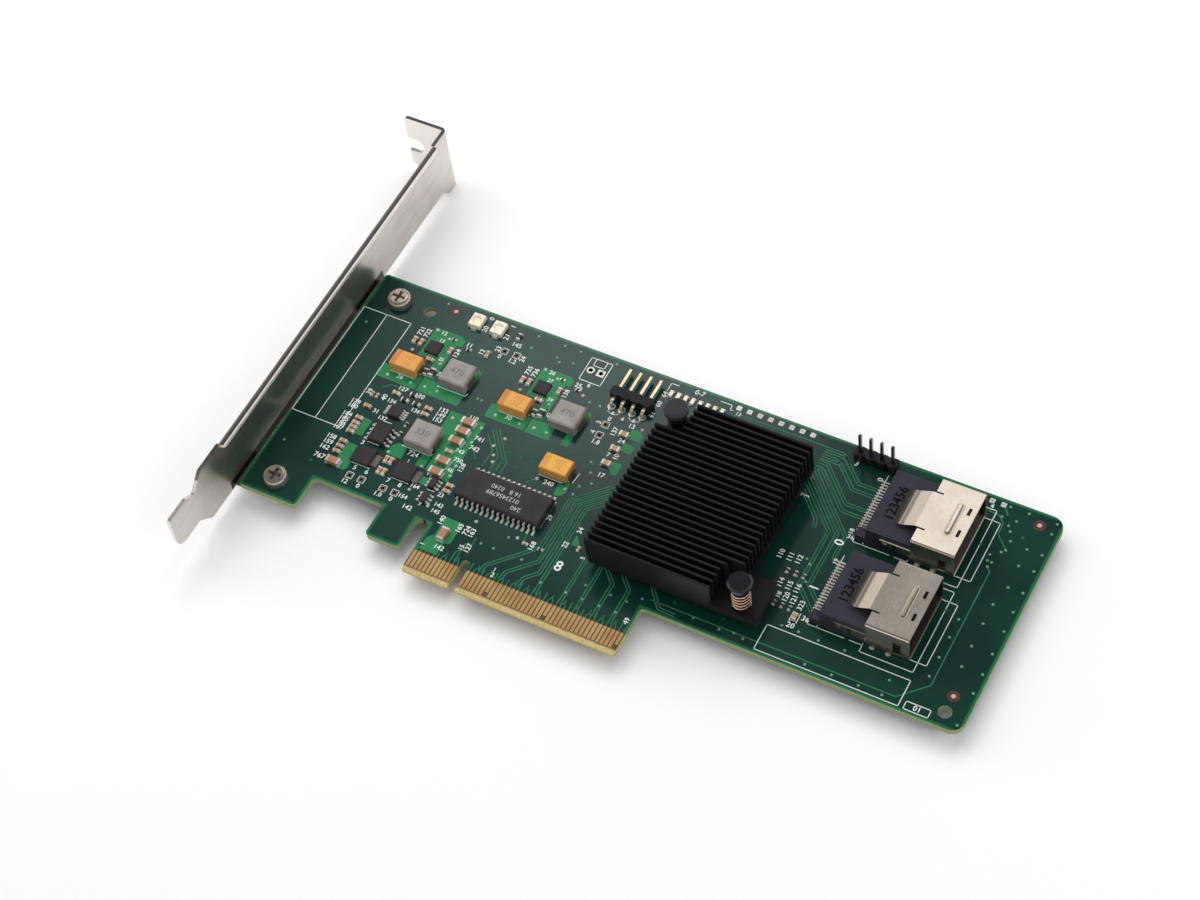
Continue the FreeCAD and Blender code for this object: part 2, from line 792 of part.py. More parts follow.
def make_housing(port_y):
    """Moulded contact block: its nose fills the back of the cage."""
    half = cage_width / 2 - cage_sheet - 0.05
    nose_low = cage_floor_gap + cage_sheet + 0.1
    nose_end = cage_left + nose_depth
    block = box(housing_left, cage_left - 0.05, -half, half, 0.1, housing_height)
    nose = box(cage_left - 0.1, nose_end, -half, half, nose_low, nose_height)
    foot = box(housing_left - foot_length, housing_left + 0.1, -half, foot_width - half, 0.1, foot_height)
    solid = fuse([block, nose, foot])
    slot_half = card_slot_width / 2
    slot_left = housing_left + rear_wall
    slot = box(slot_left, nose_end + overlap, -slot_half, slot_half, lead_rise, lead_rise + card_slot_height)
    lead_half = lead_width / 2 + 0.01
    roof = lead_rise + lead_thickness + 0.02
    cutters = [slot]
    for y in lead_rows():
        x0 = housing_left - overlap
        cutters.append(box(x0, slot_left + overlap, y - lead_half, y + lead_half, lead_rise, roof))
    solid = solid.cut(cutters)
    solid.translate(vec(0, port_y, 0))
    return solid


def make_port_leads(port_y):
    """Each lead runs from its foot on the board, through the rear wall, into the card slot."""
    tip = housing_left - lead_reach
    knee = housing_left - lead_knee
    end = cage_left + nose_depth - 0.6
    outline = [
        (tip, 0, 0),
        (knee + lead_thickness, 0, 0.25),
        (knee + lead_thickness, lead_rise, 0.1),
        (end, lead_rise, 0),
        (end, lead_rise + lead_thickness, 0),
        (knee, lead_rise + lead_thickness, 0.25),
        (knee, lead_thickness, 0.1),
        (tip, lead_thickness, 0),
    ]
    half = lead_width / 2
    return group([along_y(outline, port_y + y - half, port_y + y + half) for y in lead_rows()])


# ---- packages with gull-wing leads ----
def package(centre, size, z0, bevel):
    """Moulded body with bevelled top edges."""
    solid = centred_box(centre, size, z0)
    top = z0 + size[2]
    edges = [edge for edge in solid.Edges if all(abs(v.Z - top) < 1e-6 for v in edge.Vertexes)]
    return solid.makeChamfer(bevel, edges)


def gull_lead(body_half, span_half, rise, thickness, width):
    """One lead that leaves the body at +X and ends flat on the board."""
    foot = 0.55 * (span_half - body_half)
    knee = span_half - foot
    outline = [
        (body_half, rise, 0),
        (knee - thickness, rise, 0.05),
        (knee - thickness, 0, 0.3 * thickness),
        (span_half, 0, 0),
        (span_half, thickness, 0),
        (knee, thickness, 0.05),
        (knee, rise + thickness, 0.3 * thickness),
        (body_half, rise + thickness, 0),
    ]
    return along_y(outline, -width / 2, width / 2)


def gull_leads(centre, lead, offsets, first_angle):
    """Copies of a lead on two opposite sides of a body."""
    copies = []
    for angle in (first_angle, first_angle + 180):
        for offset in offsets:
            copy = lead.copy()
            copy.translate(vec(0, offset, 0))
            copy.rotate(vec(0, 0, 0), vec(0, 0, 1), angle)
            copy.translate(vec(centre[0], centre[1], 0))
            copies.append(copy)
    return copies


def spread(count, pitch):
    return [(i - (count - 1) / 2) * pitch for i in range(count)]


# ---- parts with two terminals ----
def chip_part(centre, size, upright):
    """Body and end caps of one small part, lying along X or, if upright, along Y."""
    length, width, height, cap = size
    x, y = centre
    lip = 0.02
    body = box(x - length / 2 + cap, x + length / 2 - cap, y - width / 2, y + width / 2, lip, height)
    caps = []
    for start in (x - length / 2, x + length / 2 - cap):
        caps.append(box(start, start + cap, y - width / 2 - lip, y + width / 2 + lip, 0, height + lip))
    if upright:
        for solid in [body] + caps:
            solid.rotate(vec(x, y, 0), vec(0, 0, 1), 90)
    return body, caps


def save_chip_parts(name, placed):
    bodies = []
    caps = []
    for centre, size, upright in placed:
        body, ends = chip_part(centre, size, upright)
        bodies.append(body)
        caps.extend(ends)
    save(name + "_bodies", group(bodies))
    save(name + "_terminals", group(caps))


def wrapped_part(centre, size, terminal, bevel):
    """Moulded block with a folded terminal at each end, along X."""
    x, y = centre
    body = package(centre, (size[0], size[1], size[2] - standoff), standoff, bevel)
    thick, width, height = terminal
    ends = []
    for side in (-1, 1):
        middle = (x + side * (size[0] + thick) / 2, y)
        ends.append(centred_box(middle, (thick, width, height), 0))
    return body, ends


def shifted(placed, origin):
    """Small parts of one group, moved to the group's place."""
    return [((x + origin[0], y + origin[1]), size, upright) for (x, y), size, upright in placed]


def large_capacitor_places():
    column = [((filter_start[0], filter_start[1] - drop), size_1206, False) for drop in filter_drops]
    return list(large_capacitors) + column


def small_capacitor_places():
    placed = list(small_capacitors)
    placed += [((left_column_x, y), size_0603, False) for y in left_column_y]
    for i in range(supply_count):
        placed.append(((supply_start[0], supply_start[1] - supply_pitch * i), size_0805, False))
    for cell in cells:
        placed += shifted(cell_capacitors, cell)
    return placed + shifted([port_capacitor], (housing_left, port_low_y))


def resistor_places():
    placed = list(small_resistors)
    for cell in cells:
        placed += shifted(cell_resistors, cell)
    return placed + shifted(port_resistors, (housing_left, port_low_y))


# ---- headers and lamps ----
def square_hole(x, y, z0, z1):
    side = pin_side + 0.04
    return box(x - side / 2, x + side / 2, y - side / 2, y + side / 2, z0, z1)


def header_block(pins, y0, y1, z0):
    """Insulator: one notched cube per pin."""
    x0 = pins[0] - pin_pitch / 2
    x1 = pins[-1] + pin_pitch / 2
    block = box(x0, x1, y0, y1, z0, z0 + block_height)
    notches = []
    for x in [x0 + pin_pitch * i for i in range(len(pins) + 1)]:
        for y in (y0, y1):
            notch = centred_box((x, y), (0.7, 0.7, block_height + 1), z0 - overlap)
            notch.rotate(vec(x, y, z0), vec(0, 0, 1), 45)
            notches.append(notch)
    return block.cut(notches)


def make_angle_header():
    """Four pins that come up through the board and turn over its top edge side."""
    y0 = angle_header_y + angle_block_gap
    y1 = y0 + block_height
    half = pin_side / 2
    low = angle_pin_height - half
    high = angle_pin_height + half
    foot = board_bottom - tail_below_board
    outline = [
        (angle_header_y - half, foot, 0),
        (angle_header_y + half, foot, 0),
        (angle_header_y + half, low, 0.2),
        (y1 + angle_pin_free, low, 0.15),
        (y1 + angle_pin_free, high, 0.15),
        (angle_header_y - half, high, 0.2 + pin_side),
    ]
    pins = [along_x(outline, x - half, x + half) for x in angle_pins]
    block = header_block(angle_pins, y0, y1, standoff)
    bore = half + 0.02
    holes = [
        box(x - bore, x + bore, y0 - 1, y1 + 1, angle_pin_height - bore, angle_pin_height + bore)
        for x in angle_pins
    ]
    return block.cut(holes), group(pins)


def make_post_header():
    half = pin_side / 2
    pins = []
    for x in post_pins:
        pin = box(x - half, x + half, post_header_y - half, post_header_y + half,
                  board_bottom - tail_below_board, post_height)
        ends = [edge for edge in pin.Edges if all(abs(v.Z - post_height) < 1e-6 for v in edge.Vertexes)]
        pins.append(pin.makeChamfer(0.15, ends))
    y0 = post_header_y - block_height / 2
    block = header_block(post_pins, y0, y0 + block_height, 0)
    holes = [square_hole(x, post_header_y, -overlap, block_height + overlap) for x in post_pins]
    return block.cut(holes), group(pins)


def make_status_lamp(centre):
    """Cream body with a round window, and a terminal under each end."""
    x, y = centre
    body = package(centre, (lamp_size[0], lamp_size[1], lamp_size[2] - standoff), standoff, 0.15)
    low, high, depth = lamp_window
    well = cone(x, y, lamp_size[2] - depth, lamp_size[2] + 0.01, low, high)
    terminals = []
    for side in (-1, 1):
        middle = (x, y + side * (lamp_size[1] + lamp_terminal[1]) / 2)
        terminals.append(centred_box(middle, lamp_terminal, 0))
    return body.cut(well), terminals


def test_ring_solder(x, y):
    diameter, height = test_ring
    return cylinder(x, y, 0, height, diameter).cut(cylinder(x, y, -1, 1, test_hole_diameter))


# ---- write every node ----
os.makedirs("parts", exist_ok=True)

save("circuit_board", make_board())
save("edge_contacts_front", make_contacts(0, contact_foil, short_contacts))
save("edge_contacts_back", make_contacts(board_bottom - contact_foil, board_bottom, ()))
save("mounting_bracket", make_bracket())
for place, y in zip(("lower", "upper"), screw_y):
    save("bracket_screw_" + place, make_screw(y))

substrate_bottom = ball_height
mould_bottom = substrate_bottom + substrate_thickness
pad_bottom = mould_bottom + mould_thickness
save("controller_solder_balls", make_solder_balls())
save("controller_substrate", square_layer(substrate_side, substrate_thickness, substrate_bottom))
save("controller_mould", square_layer(mould_side, mould_thickness, mould_bottom))
save("thermal_pad", square_layer(pad_side, pad_thickness, pad_bottom))
save("heat_sink", make_heat_sink())
for place, (x, y) in (("lower", pin_low), ("upper", pin_high)):
    save("push_pin_" + place, make_push_pin(x, y))
    save("push_pin_spring_" + place, make_pin_spring(x, y))

for number, port_y in enumerate(ports):
    name = "sas_port_{}_".format(number)
    save(name + "cage", make_cage(port_y))
    save(name + "housing", make_housing(port_y))
    save(name + "contacts", make_port_leads(port_y))

memory_lead = gull_lead(memory_size[1] / 2, memory_lead_span / 2, 1.0, 0.22, 0.42)
memory_offsets = spread(memory_lead_count // 2, memory_lead_pitch)
save("memory_chip_body", package(memory_centre, (*memory_size, memory_height - standoff), standoff, 0.25))
save("memory_chip_leads", group(gull_leads(memory_centre, memory_lead, memory_offsets, 90)))

inductor_ends = []
for number, centre in enumerate(cells + [third_inductor]):
    body, ends = wrapped_part(centre, inductor_size, inductor_terminal, 0.35)
    save("inductor_{}".format(number), body)
    inductor_ends.extend(ends)
save("inductor_terminals", group(inductor_ends))

tantalum_places = [(x + tantalum_offset[0], y + tantalum_offset[1]) for x, y in cells]
tantalum_ends = []
for number, centre in enumerate(tantalum_places + [third_tantalum]):
    body, ends = wrapped_part(centre, tantalum_size, tantalum_terminal, 0.2)
    save("tantalum_capacitor_{}".format(number), body)
    tantalum_ends.extend(ends)
save("tantalum_terminals", group(tantalum_ends))

for number, (x, y) in enumerate(cells):
    centre = (x + regulator_offset[0], y + regulator_offset[1])
    save("regulator_chip_{}".format(number), package(centre, regulator_size, 0, 0.08))

so8_lead = gull_lead(so8_size[0] / 2, so8_span / 2, 0.7, 0.2, 0.42)
msop_lead = gull_lead(msop_size[0] / 2, msop_span / 2, 0.45, 0.15, 0.3)
save("driver_chip_body", package(so8_centre, (*so8_size, so8_height - standoff), standoff, 0.25))
save("driver_chip_leads", group(gull_leads(so8_centre, so8_lead, spread(4, so8_lead_pitch), 0)))
save("monitor_chip_body", package(msop_centre, (*msop_size, msop_height - standoff), standoff, 0.15))
save("monitor_chip_leads", group(gull_leads(msop_centre, msop_lead, spread(4, msop_lead_pitch), 0)))

power_tabs = []
for number, centre in enumerate(power_centres):
    body = package(centre, (*power_size, power_height), 0, 0.15)
    save("power_switch_{}".format(number), body)
    tab_x = centre[0] + (power_size[0] + power_tab[0]) / 2
    power_tabs.append(centred_box((tab_x, centre[1]), power_tab, 0))
save("power_switch_tabs", group(power_tabs))

sot_lead = gull_lead(sot_size[0] / 2, sot_span / 2, 0.4, 0.13, 0.38)
sot_bodies = []
sot_leads = []
for centre in sot_centres:
    sot_bodies.append(package(centre, (*sot_size, sot_height - standoff), standoff, 0.12))
    sot_leads.extend(gull_leads(centre, sot_lead, spread(3, 0.95), 0))
save("small_transistor_bodies", group(sot_bodies))
save("small_transistor_leads", group(sot_leads))

save_chip_parts("large_capacitor", large_capacitor_places())
save_chip_parts("small_capacitor", small_capacitor_places())
save_chip_parts("resistor", resistor_places())

row_lamps = []
for i in range(row_lamp_count):
    centre = (row_lamp_start[0] + row_lamp_pitch * i, row_lamp_start[1])
    row_lamps.append((centre, size_0603, True))
save_chip_parts("activity_lamp", row_lamps)

for name, (block, pins) in (("angle_header", make_angle_header()), ("post_header", make_post_header())):
    save(name + "_block", block)
    save(name + "_pins", pins)

lamp_bodies = []
lamp_ends = []
for centre in lamp_centres:
    body, ends = make_status_lamp(centre)
    lamp_bodies.append(body)
    lamp_ends.extend(ends)
save("status_lamp_bodies", group(lamp_bodies))
save("status_lamp_terminals", group(lamp_ends))
save("test_point_rings", group([test_ring_solder(x, y) for x, y in test_points]))
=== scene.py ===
import bmesh
import bpy
import math
from mathutils import Euler, Matrix, Vector


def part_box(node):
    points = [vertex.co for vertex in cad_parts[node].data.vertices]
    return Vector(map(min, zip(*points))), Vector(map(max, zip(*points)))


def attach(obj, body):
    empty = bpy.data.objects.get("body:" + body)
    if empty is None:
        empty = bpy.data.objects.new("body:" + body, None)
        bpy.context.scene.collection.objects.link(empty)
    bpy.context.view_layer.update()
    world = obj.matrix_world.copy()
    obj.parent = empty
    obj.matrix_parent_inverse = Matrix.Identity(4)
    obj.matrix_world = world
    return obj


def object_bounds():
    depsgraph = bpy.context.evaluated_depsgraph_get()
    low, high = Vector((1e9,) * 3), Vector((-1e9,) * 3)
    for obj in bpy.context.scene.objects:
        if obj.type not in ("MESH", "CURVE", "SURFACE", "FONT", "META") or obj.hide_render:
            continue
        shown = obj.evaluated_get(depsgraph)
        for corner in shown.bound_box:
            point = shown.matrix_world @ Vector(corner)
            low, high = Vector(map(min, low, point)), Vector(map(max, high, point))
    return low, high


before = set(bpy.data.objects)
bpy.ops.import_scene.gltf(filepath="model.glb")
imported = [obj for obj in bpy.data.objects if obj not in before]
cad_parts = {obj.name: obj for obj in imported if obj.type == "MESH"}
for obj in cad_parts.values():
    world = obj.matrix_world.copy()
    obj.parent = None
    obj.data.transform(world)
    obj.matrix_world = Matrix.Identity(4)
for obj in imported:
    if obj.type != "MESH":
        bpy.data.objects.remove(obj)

# Looks for a low-profile storage controller card.
# Lengths in the dictionaries are millimetres in the card's own frame: X along the card,
# Y from the edge fingers to the top edge, Z out of the component face.
mm = 0.001
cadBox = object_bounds()


def boxOf(node):
    # lowest and highest corner of a node, in millimetres
    return [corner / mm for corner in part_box(node)]


def middleOf(node):
    low, high = boxOf(node)
    return (low + high) / 2


def newObject(name, data):
    made = bpy.data.objects.new(name, data)
    bpy.context.scene.collection.objects.link(made)
    return made


class Signal:
    # one socket of a node tree; plain arithmetic on it adds Math nodes
    def __init__(self, owner, socket):
        self.owner = owner
        self.socket = socket

    def __add__(self, other):
        return self.owner.maths("ADD", self, other)

    def __sub__(self, other):
        return self.owner.maths("SUBTRACT", self, other)

    def __rsub__(self, other):
        return self.owner.maths("SUBTRACT", other, self)

    def __mul__(self, other):
        return self.owner.maths("MULTIPLY", self, other)

    def __gt__(self, other):
        return self.owner.maths("GREATER_THAN", self, other)

    def __lt__(self, other):
        return self.owner.maths("LESS_THAN", self, other)

    def __neg__(self):
        return self.owner.maths("MULTIPLY", self, -1.0)

    def __abs__(self):
        return self.owner.maths("ABSOLUTE", self)

    __radd__ = __add__
    __rmul__ = __mul__

    def least(self, other):
        return self.owner.maths("MINIMUM", self, other)

    def most(self, other):
        return self.owner.maths("MAXIMUM", self, other)

    def ramp(self, low, high):
        # 0 below low, 1 above high, smooth between
        return self.owner.add("ShaderNodeMapRange", {"interpolation_type": "SMOOTHSTEP"},
                              {0: self, 1: low, 2: high, 3: 0.0, 4: 1.0})


class NodeTree:
    # adds nodes: a type, its settings (set first), and values or links for its sockets
    def __init__(self, tree):
        self.tree = tree
        self.tree.nodes.clear()

    def add(self, kind, settings=None, sockets=None, output=0):
        node = self.tree.nodes.new(kind)
        for name, value in (settings or {}).items():
            setattr(node, name, value)
        for key, value in (sockets or {}).items():
            if isinstance(value, Signal):
                self.tree.links.new(value.socket, node.inputs[key])
            else:
                node.inputs[key].default_value = value
        return Signal(self, node.outputs[output]) if node.outputs else node

    def maths(self, operation, *values):
        return self.add("ShaderNodeMath", {"operation": operation}, dict(enumerate(values)))

    def part(self, vector, index):
        # x, y or z of a vector
        return self.add("ShaderNodeSeparateXYZ", None, {0: vector}, index)

    def blend(self, factor, first, second):
        # two colours
        sockets = {0: factor, 6: first, 7: second}
        return self.add("ShaderNodeMix", {"data_type": "RGBA"}, sockets, 2)

    def rays(self, *kinds):
        # 1 for rays of any of these kinds
        path = self.tree.nodes.new("ShaderNodeLightPath")
        found = [Signal(self, path.outputs[f"Is {kind} Ray"]) for kind in kinds]
        seen = found[0]
        for other in found[1:]:
            seen = seen.most(other)
        return seen


class Finish(NodeTree):
    # a material on Object coordinates, in millimetres
    def __init__(self, name):
        self.material = bpy.data.materials.new(name)
        self.material.use_nodes = True
        super().__init__(self.material.node_tree)
        place = self.add("ShaderNodeTexCoord", output=3)
        self.millimetres = self.add("ShaderNodeVectorMath", {"operation": "SCALE"},
                                    {0: place, 3: 1 / mm})
        self.x, self.y, self.z = (self.part(self.millimetres, index) for index in range(3))

    def facing(self, index):
        return self.part(self.add("ShaderNodeNewGeometry", output=1), index)

    def noise(self, scale, detail=2.0, rough=0.5, stretch=(1, 1, 1)):
        # scale is in features per millimetre
        vector = self.add("ShaderNodeVectorMath", {"operation": "MULTIPLY"},
                          {0: self.millimetres, 1: stretch})
        return self.add("ShaderNodeTexNoise", None,
                        {"Vector": vector, "Scale": scale, "Detail": detail, "Roughness": rough})

    def mottled(self, grain, share, patchScale, span, darkTone, tone):
        # two tones in a mixture of fine grain and wide patches
        mixture = grain * share + self.noise(patchScale) * (1 - share)
        return self.blend(mixture.ramp(*span), tint(darkTone), tint(tone))

    def surface(self, colour, rough, relief, metal=0.0, shine=0.5):
        # relief: a height, its strength and its depth
        height, strength, depth = relief
        normal = self.add("ShaderNodeBump", None,
                          {"Strength": strength, "Distance": depth * mm, "Height": height})
        shader = self.add("ShaderNodeBsdfPrincipled", None,
                          {"Base Color": colour, "Roughness": rough, "Normal": normal,
                           "Metallic": metal, "Specular IOR Level": shine})
        self.add("ShaderNodeOutputMaterial", None, {"Surface": shader})
        return self.material


def grey(level):
    return (level, level, level, 1.0)


def tint(hexCode):
    # the colour as it appears on a screen, such as "1d4a3b"
    parts = [int(hexCode[i:i + 2], 16) / 255 for i in (0, 2, 4)]
    linear = [c / 12.92 if c <= 0.04045 else ((c + 0.055) / 1.055) ** 2.4 for c in parts]
    return (*linear, 1.0)


print("stage: camera and light")
cameraSetup = {
    "place": (209.836, -234.298, 470.154),
    "turns": (35.689, 5.334, 27.910),    # degrees about X, Y and Z
    "lens": 79.99,
    "sensor": 36.0,
    "nearest": 0.01,             # metres
    "farthest": 20.0,
}

stageSetup = {
    "floorGap": 0.25,            # below the lowest point of the card
    "floorSize": 4000.0,
    "floorTone": "f4f4f4",
    "backdrop": 0.96,
    "floorFade": (140.0, 300.0), # beyond this the floor turns into the plain backdrop
    "worldLight": 0.55,
    "ceilingRise": (0.35, 0.7),  # sine of the height at which the mirrored ceiling turns grey
    "ceilingTone": 0.07,
    "lamps": {
        # name: place, size, power, aim, and whether shiny parts show it
        "topSoftbox": ((-150.0, 420.0, 620.0), (700.0, 500.0), 2.75, (20.0, 40.0, 0.0), False),
        "sideSoftbox": ((520.0, -120.0, 360.0), (420.0, 420.0), 0.9, (40.0, 35.0, 0.0), False),
        "rearStrip": ((-520.0, 40.0, 300.0), (260.0, 700.0), 1.2, (-40.0, 45.0, 0.0), False),
        "glossCard": ((-270.0, 480.0, 620.0), (215.0, 170.0), 0.26, (-270.0, 479.9, 0.0), True),
    },
}


def makeCamera():
    data = bpy.data.cameras.new("camera")
    data.lens = cameraSetup["lens"]
    data.sensor_width = cameraSetup["sensor"]
    data.clip_start = cameraSetup["nearest"]
    data.clip_end = cameraSetup["farthest"]
    camera = newObject("camera", data)
    turns = Euler([math.radians(turn) for turn in cameraSetup["turns"]])
    camera.matrix_world = Matrix.LocRotScale(Vector(cameraSetup["place"]) * mm, turns, None)
    bpy.context.scene.camera = camera


def makeLamp(name, place, size, power, aim, mirrored):
    data = bpy.data.lights.new(name, "AREA")
    data.shape = "RECTANGLE"
    data.size, data.size_y = (side * mm for side in size)
    data.energy = power
    lamp = newObject(name, data)
    lamp.location = Vector(place) * mm
    lamp.visible_glossy = mirrored
    lamp.rotation_mode = "QUATERNION"
    lamp.rotation_quaternion = (Vector(aim) - Vector(place)).to_track_quat("-Z", "Y")


def makeWorld():
    # camera and mirror rays see plain white walls; high overhead, the mirrored ceiling is greyer
    world = bpy.data.worlds.new("softWorld")
    bpy.context.scene.world = world
    world.use_nodes = True
    tree = NodeTree(world.node_tree)
    white = grey(stageSetup["backdrop"])
    upward = tree.part(tree.add("ShaderNodeTexCoord", output=3), 2)
    rise = upward.ramp(*stageSetup["ceilingRise"])
    ceiling = tree.blend(rise, white, grey(stageSetup["ceilingTone"]))
    lit = tree.add("ShaderNodeBackground", None, {0: grey(1.0), 1: stageSetup["worldLight"]})
    walls = tree.add("ShaderNodeBackground", None, {0: ceiling, 1: 1.0})
    plain = tree.add("ShaderNodeBackground", None, {0: white, 1: 1.0})
    mirrored = tree.rays("Glossy", "Transmission")
    shown = tree.add("ShaderNodeMixShader", None, {0: mirrored, 1: lit, 2: walls})
    shown = tree.add("ShaderNodeMixShader", None, {0: tree.rays("Camera"), 1: shown, 2: plain})
    tree.add("ShaderNodeOutputWorld", None, {0: shown})


def makeFloor():
    half = stageSetup["floorSize"] * mm / 2
    level = cadBox[0].z - stageSetup["floorGap"] * mm
    mesh = bpy.data.meshes.new("floor")
    corners = [(x * half, y * half, level) for x, y in ((-1, -1), (1, -1), (1, 1), (-1, 1))]
    mesh.from_pydata(corners, [], [(0, 1, 2, 3)])
    floor = newObject("floor", mesh)
    paint = Finish("floorPaint")
    near = paint.add("ShaderNodeBsdfDiffuse", None, {0: tint(stageSetup["floorTone"])})
    far = paint.add("ShaderNodeEmission", None, {0: grey(stageSetup["backdrop"]), 1: 1.0})
    start, end = stageSetup["floorFade"]
    middle = sum(cadBox, Vector()) / 2 / mm
    across, along = paint.x - middle.x, paint.y - middle.y
    away = (across * across + along * along).ramp(start ** 2, end ** 2)
    seen = paint.rays("Camera", "Glossy", "Transmission")
    mixed = paint.add("ShaderNodeMixShader", None, {0: away * seen, 1: near, 2: far})
    paint.add("ShaderNodeOutputMaterial", None, {0: mixed})
    mesh.materials.append(paint.material)


bpy.context.scene.view_settings.view_transform = "Standard"
makeCamera()
makeWorld()
makeFloor()
for lampName, lampFacts in stageSetup["lamps"].items():
    makeLamp(lampName, *lampFacts)


print("stage: finishes")
boardShape = {
    # parts of the board, for the paler rim along its edges: x from, x to, y from, y to
    "card": (-56.6, 111.05, 12.56, 68.9),
    "foot": (-56.6, -41.85, 4.43, 40.0),
    "hook": (-24.0, -15.6, 4.43, 40.0),
    "fingers": (-12.2, 39.15, -40.0, 40.0),
    "rimFade": (0.35, 0.8),      # from the edge: all rim, all mask
    "mask": "092e28",
    "maskPale": "0e392f",
    "rim": "1c6742",
    "maskRough": 0.17,
    "bareBox": (-12.5, 5.6),     # the edge fingers have no solder mask: x from, y to
    "bareFade": (0.7, 1.4),      # pale at the very edge, brown above
    "bareEdge": "d6bf83",
    "bareDark": "5c4426",
    "bareWeave": 0.45,
    "bareRough": 0.3,
    "laminate": "5a4226",
    "laminateEdge": "8d9a6c",
    "laminateWeave": "7d8f58",
    "sideRough": 0.35,
    # painted shade for the walls of the small plated holes
    "holeShade": "33281c",
    "holeSpan": (-38.0, 104.0, 12.0),   # where small plated holes get painted shade on their walls: x from, x to, y from
    "holeDepth": 0.4,                   # and at least this far from an edge
}


def insideOf(paint, rectangle):
    x0, x1, y0, y1 = rectangle
    return (paint.x - x0).least(x1 - paint.x).least((paint.y - y0).least(y1 - paint.y))


def makeBoardFinish():
    shape = boardShape
    paint = Finish("solderMask")
    depth = insideOf(paint, shape["card"])
    for part in ("foot", "hook", "fingers"):
        depth = depth.most(insideOf(paint, shape[part]))
    cloud = paint.noise(0.045, 3.0)
    weave = paint.noise(1.6, 2.0, 0.6, (1.0, 3.0, 1.0))
    mask = paint.blend(cloud.ramp(0.35, 0.68), tint(shape["mask"]), tint(shape["maskPale"]))
    mask = paint.blend(depth.ramp(*shape["rimFade"]), tint(shape["rim"]), mask)
    bareX, bareY = shape["bareBox"]
    bare = (paint.y < bareY) * (paint.x > bareX)
    fade = paint.y.ramp(*shape["bareFade"])
    bareTone = paint.blend(fade, tint(shape["bareEdge"]), tint(shape["laminate"]))
    threads = weave.ramp(0.3, 0.75) * shape["bareWeave"]
    bareTone = paint.blend(threads, bareTone, tint(shape["bareDark"]))
    top = paint.blend(bare, mask, bareTone)
    side = 1 - abs(paint.facing(2)).ramp(0.3, 0.6)
    sideTone = paint.blend(bare, tint(shape["laminateEdge"]), tint(shape["bareEdge"]))
    sideTone = paint.blend(weave.ramp(0.2, 0.8), sideTone, tint(shape["laminateWeave"]))
    # painted shade: the walls of the small plated holes turn dark, for the shade deep inside them
    x0, x1, y0 = shape["holeSpan"]
    shadedHoles = (depth > shape["holeDepth"]) * (paint.x > x0) * (paint.x < x1) * (paint.y > y0)
    sideTone = paint.blend(shadedHoles, sideTone, tint(shape["holeShade"]))
    rough = shape["maskRough"] + 0.06 * cloud + shape["sideRough"] * side
    return paint.surface(paint.blend(side, top, sideTone), rough + shape["bareRough"] * bare,
                         (weave, 0.04, 0.02))


def metalFinish(name, tone, darkTone, rough, brushed=(1.0, 1.0, 1.0), grainScale=2.2, metal=1.0):
    # plated or bare metal with fine marks; brushed stretches them
    paint = Finish(name)
    grain = paint.noise(grainScale, 3.0, 0.65, brushed)
    colour = paint.mottled(grain, 0.5, 0.16, (0.36, 0.66), darkTone, tone)
    return paint.surface(colour, rough + 0.1 * grain, (grain, 0.08, 0.02), metal)


shell = {
    "backX": 85.3,               # where the box of the shell begins
    "topZ": 8.0,
    "inset": 0.14,               # less than the sheet's thickness
    "lipInset": 0.1,             # at the open end
    # painted shade on the shell's inner faces
    "inside": "241f1b",
    "insideStrength": 0.92,
    "insideRough": 0.3,
    "wall": "dccfbe",
    # painted reflection: darker bands on the bent leaf at the back, for the bands it mirrors: x
    # from, x to, waves in radians per millimetre
    "leafSpan": (78.2, 82.2, 4.2),
    "leafReflectionStrength": 0.35,
    "leafReflectionTone": "5f544a",
    "rough": 0.27,
}


def shellFinish(name, node, tone, darkTone, topMetal):
    # plated shell of a port: satin on its flat top, mirror-like on walls and bends, with painted
    # shade inside and painted reflection bands on its bent leaf
    low, high = boxOf(node)
    paint = Finish(name)
    grain = paint.noise(2.5, 3.0, 0.65, (1.0, 0.3, 1.0))
    flat = paint.facing(2).ramp(0.95, 0.995)
    top = paint.mottled(grain, 0.5, 0.16, (0.36, 0.66), darkTone, tone)
    colour = paint.blend(flat, tint(shell["wall"]), top)
    # painted reflection bands across the bent leaf
    first, last, waves = shell["leafSpan"]
    strength = shell["leafReflectionStrength"]
    wave = paint.maths("SINE", (paint.x - first) * waves) * strength + strength
    leafReflection = wave * (paint.x < last) * (1 - flat)
    colour = paint.blend(leafReflection, colour, tint(shell["leafReflectionTone"]))
    # painted shade on the faces inside the shell
    depth = (paint.y - low.y).least(high.y - paint.y).least(shell["topZ"] - paint.z)
    depth = depth.least(paint.x - shell["backX"]).least(high.x - shell["lipInset"] - paint.x)
    inside = depth > shell["inset"]
    colour = paint.blend(inside * shell["insideStrength"], colour, tint(shell["inside"]))
    return paint.surface(colour, shell["rough"] + 0.06 * grain + shell["insideRough"] * inside,
                         (grain, 0.03, 0.02), 1 - (1 - topMetal) * flat)


def mouldedFinish(name, tone, darkTone, rough, grainScale=5.0, strength=0.15, depth=0.02,
                  shine=0.5):
    # plastic, epoxy or pressed powder: fine grain in colour and relief
    paint = Finish(name)
    grain = paint.noise(grainScale, 3.0, 0.7)
    colour = paint.mottled(grain, 0.6, 0.35, (0.35, 0.65), darkTone, tone)
    return paint.surface(colour, rough + 0.12 * (grain - 0.5), (grain, strength, depth),
                         shine=shine)


tantalum = {
    "tones": [("dfa65b", "bb7426"), ("dfa65b", "bb7426"), ("e8b452", "c98b2e")],  # case, bar
    "grain": "d38f3c",
    "barEnd": (-1.95, -1.75),    # from the middle of the case
    "barStrength": 0.75,
}


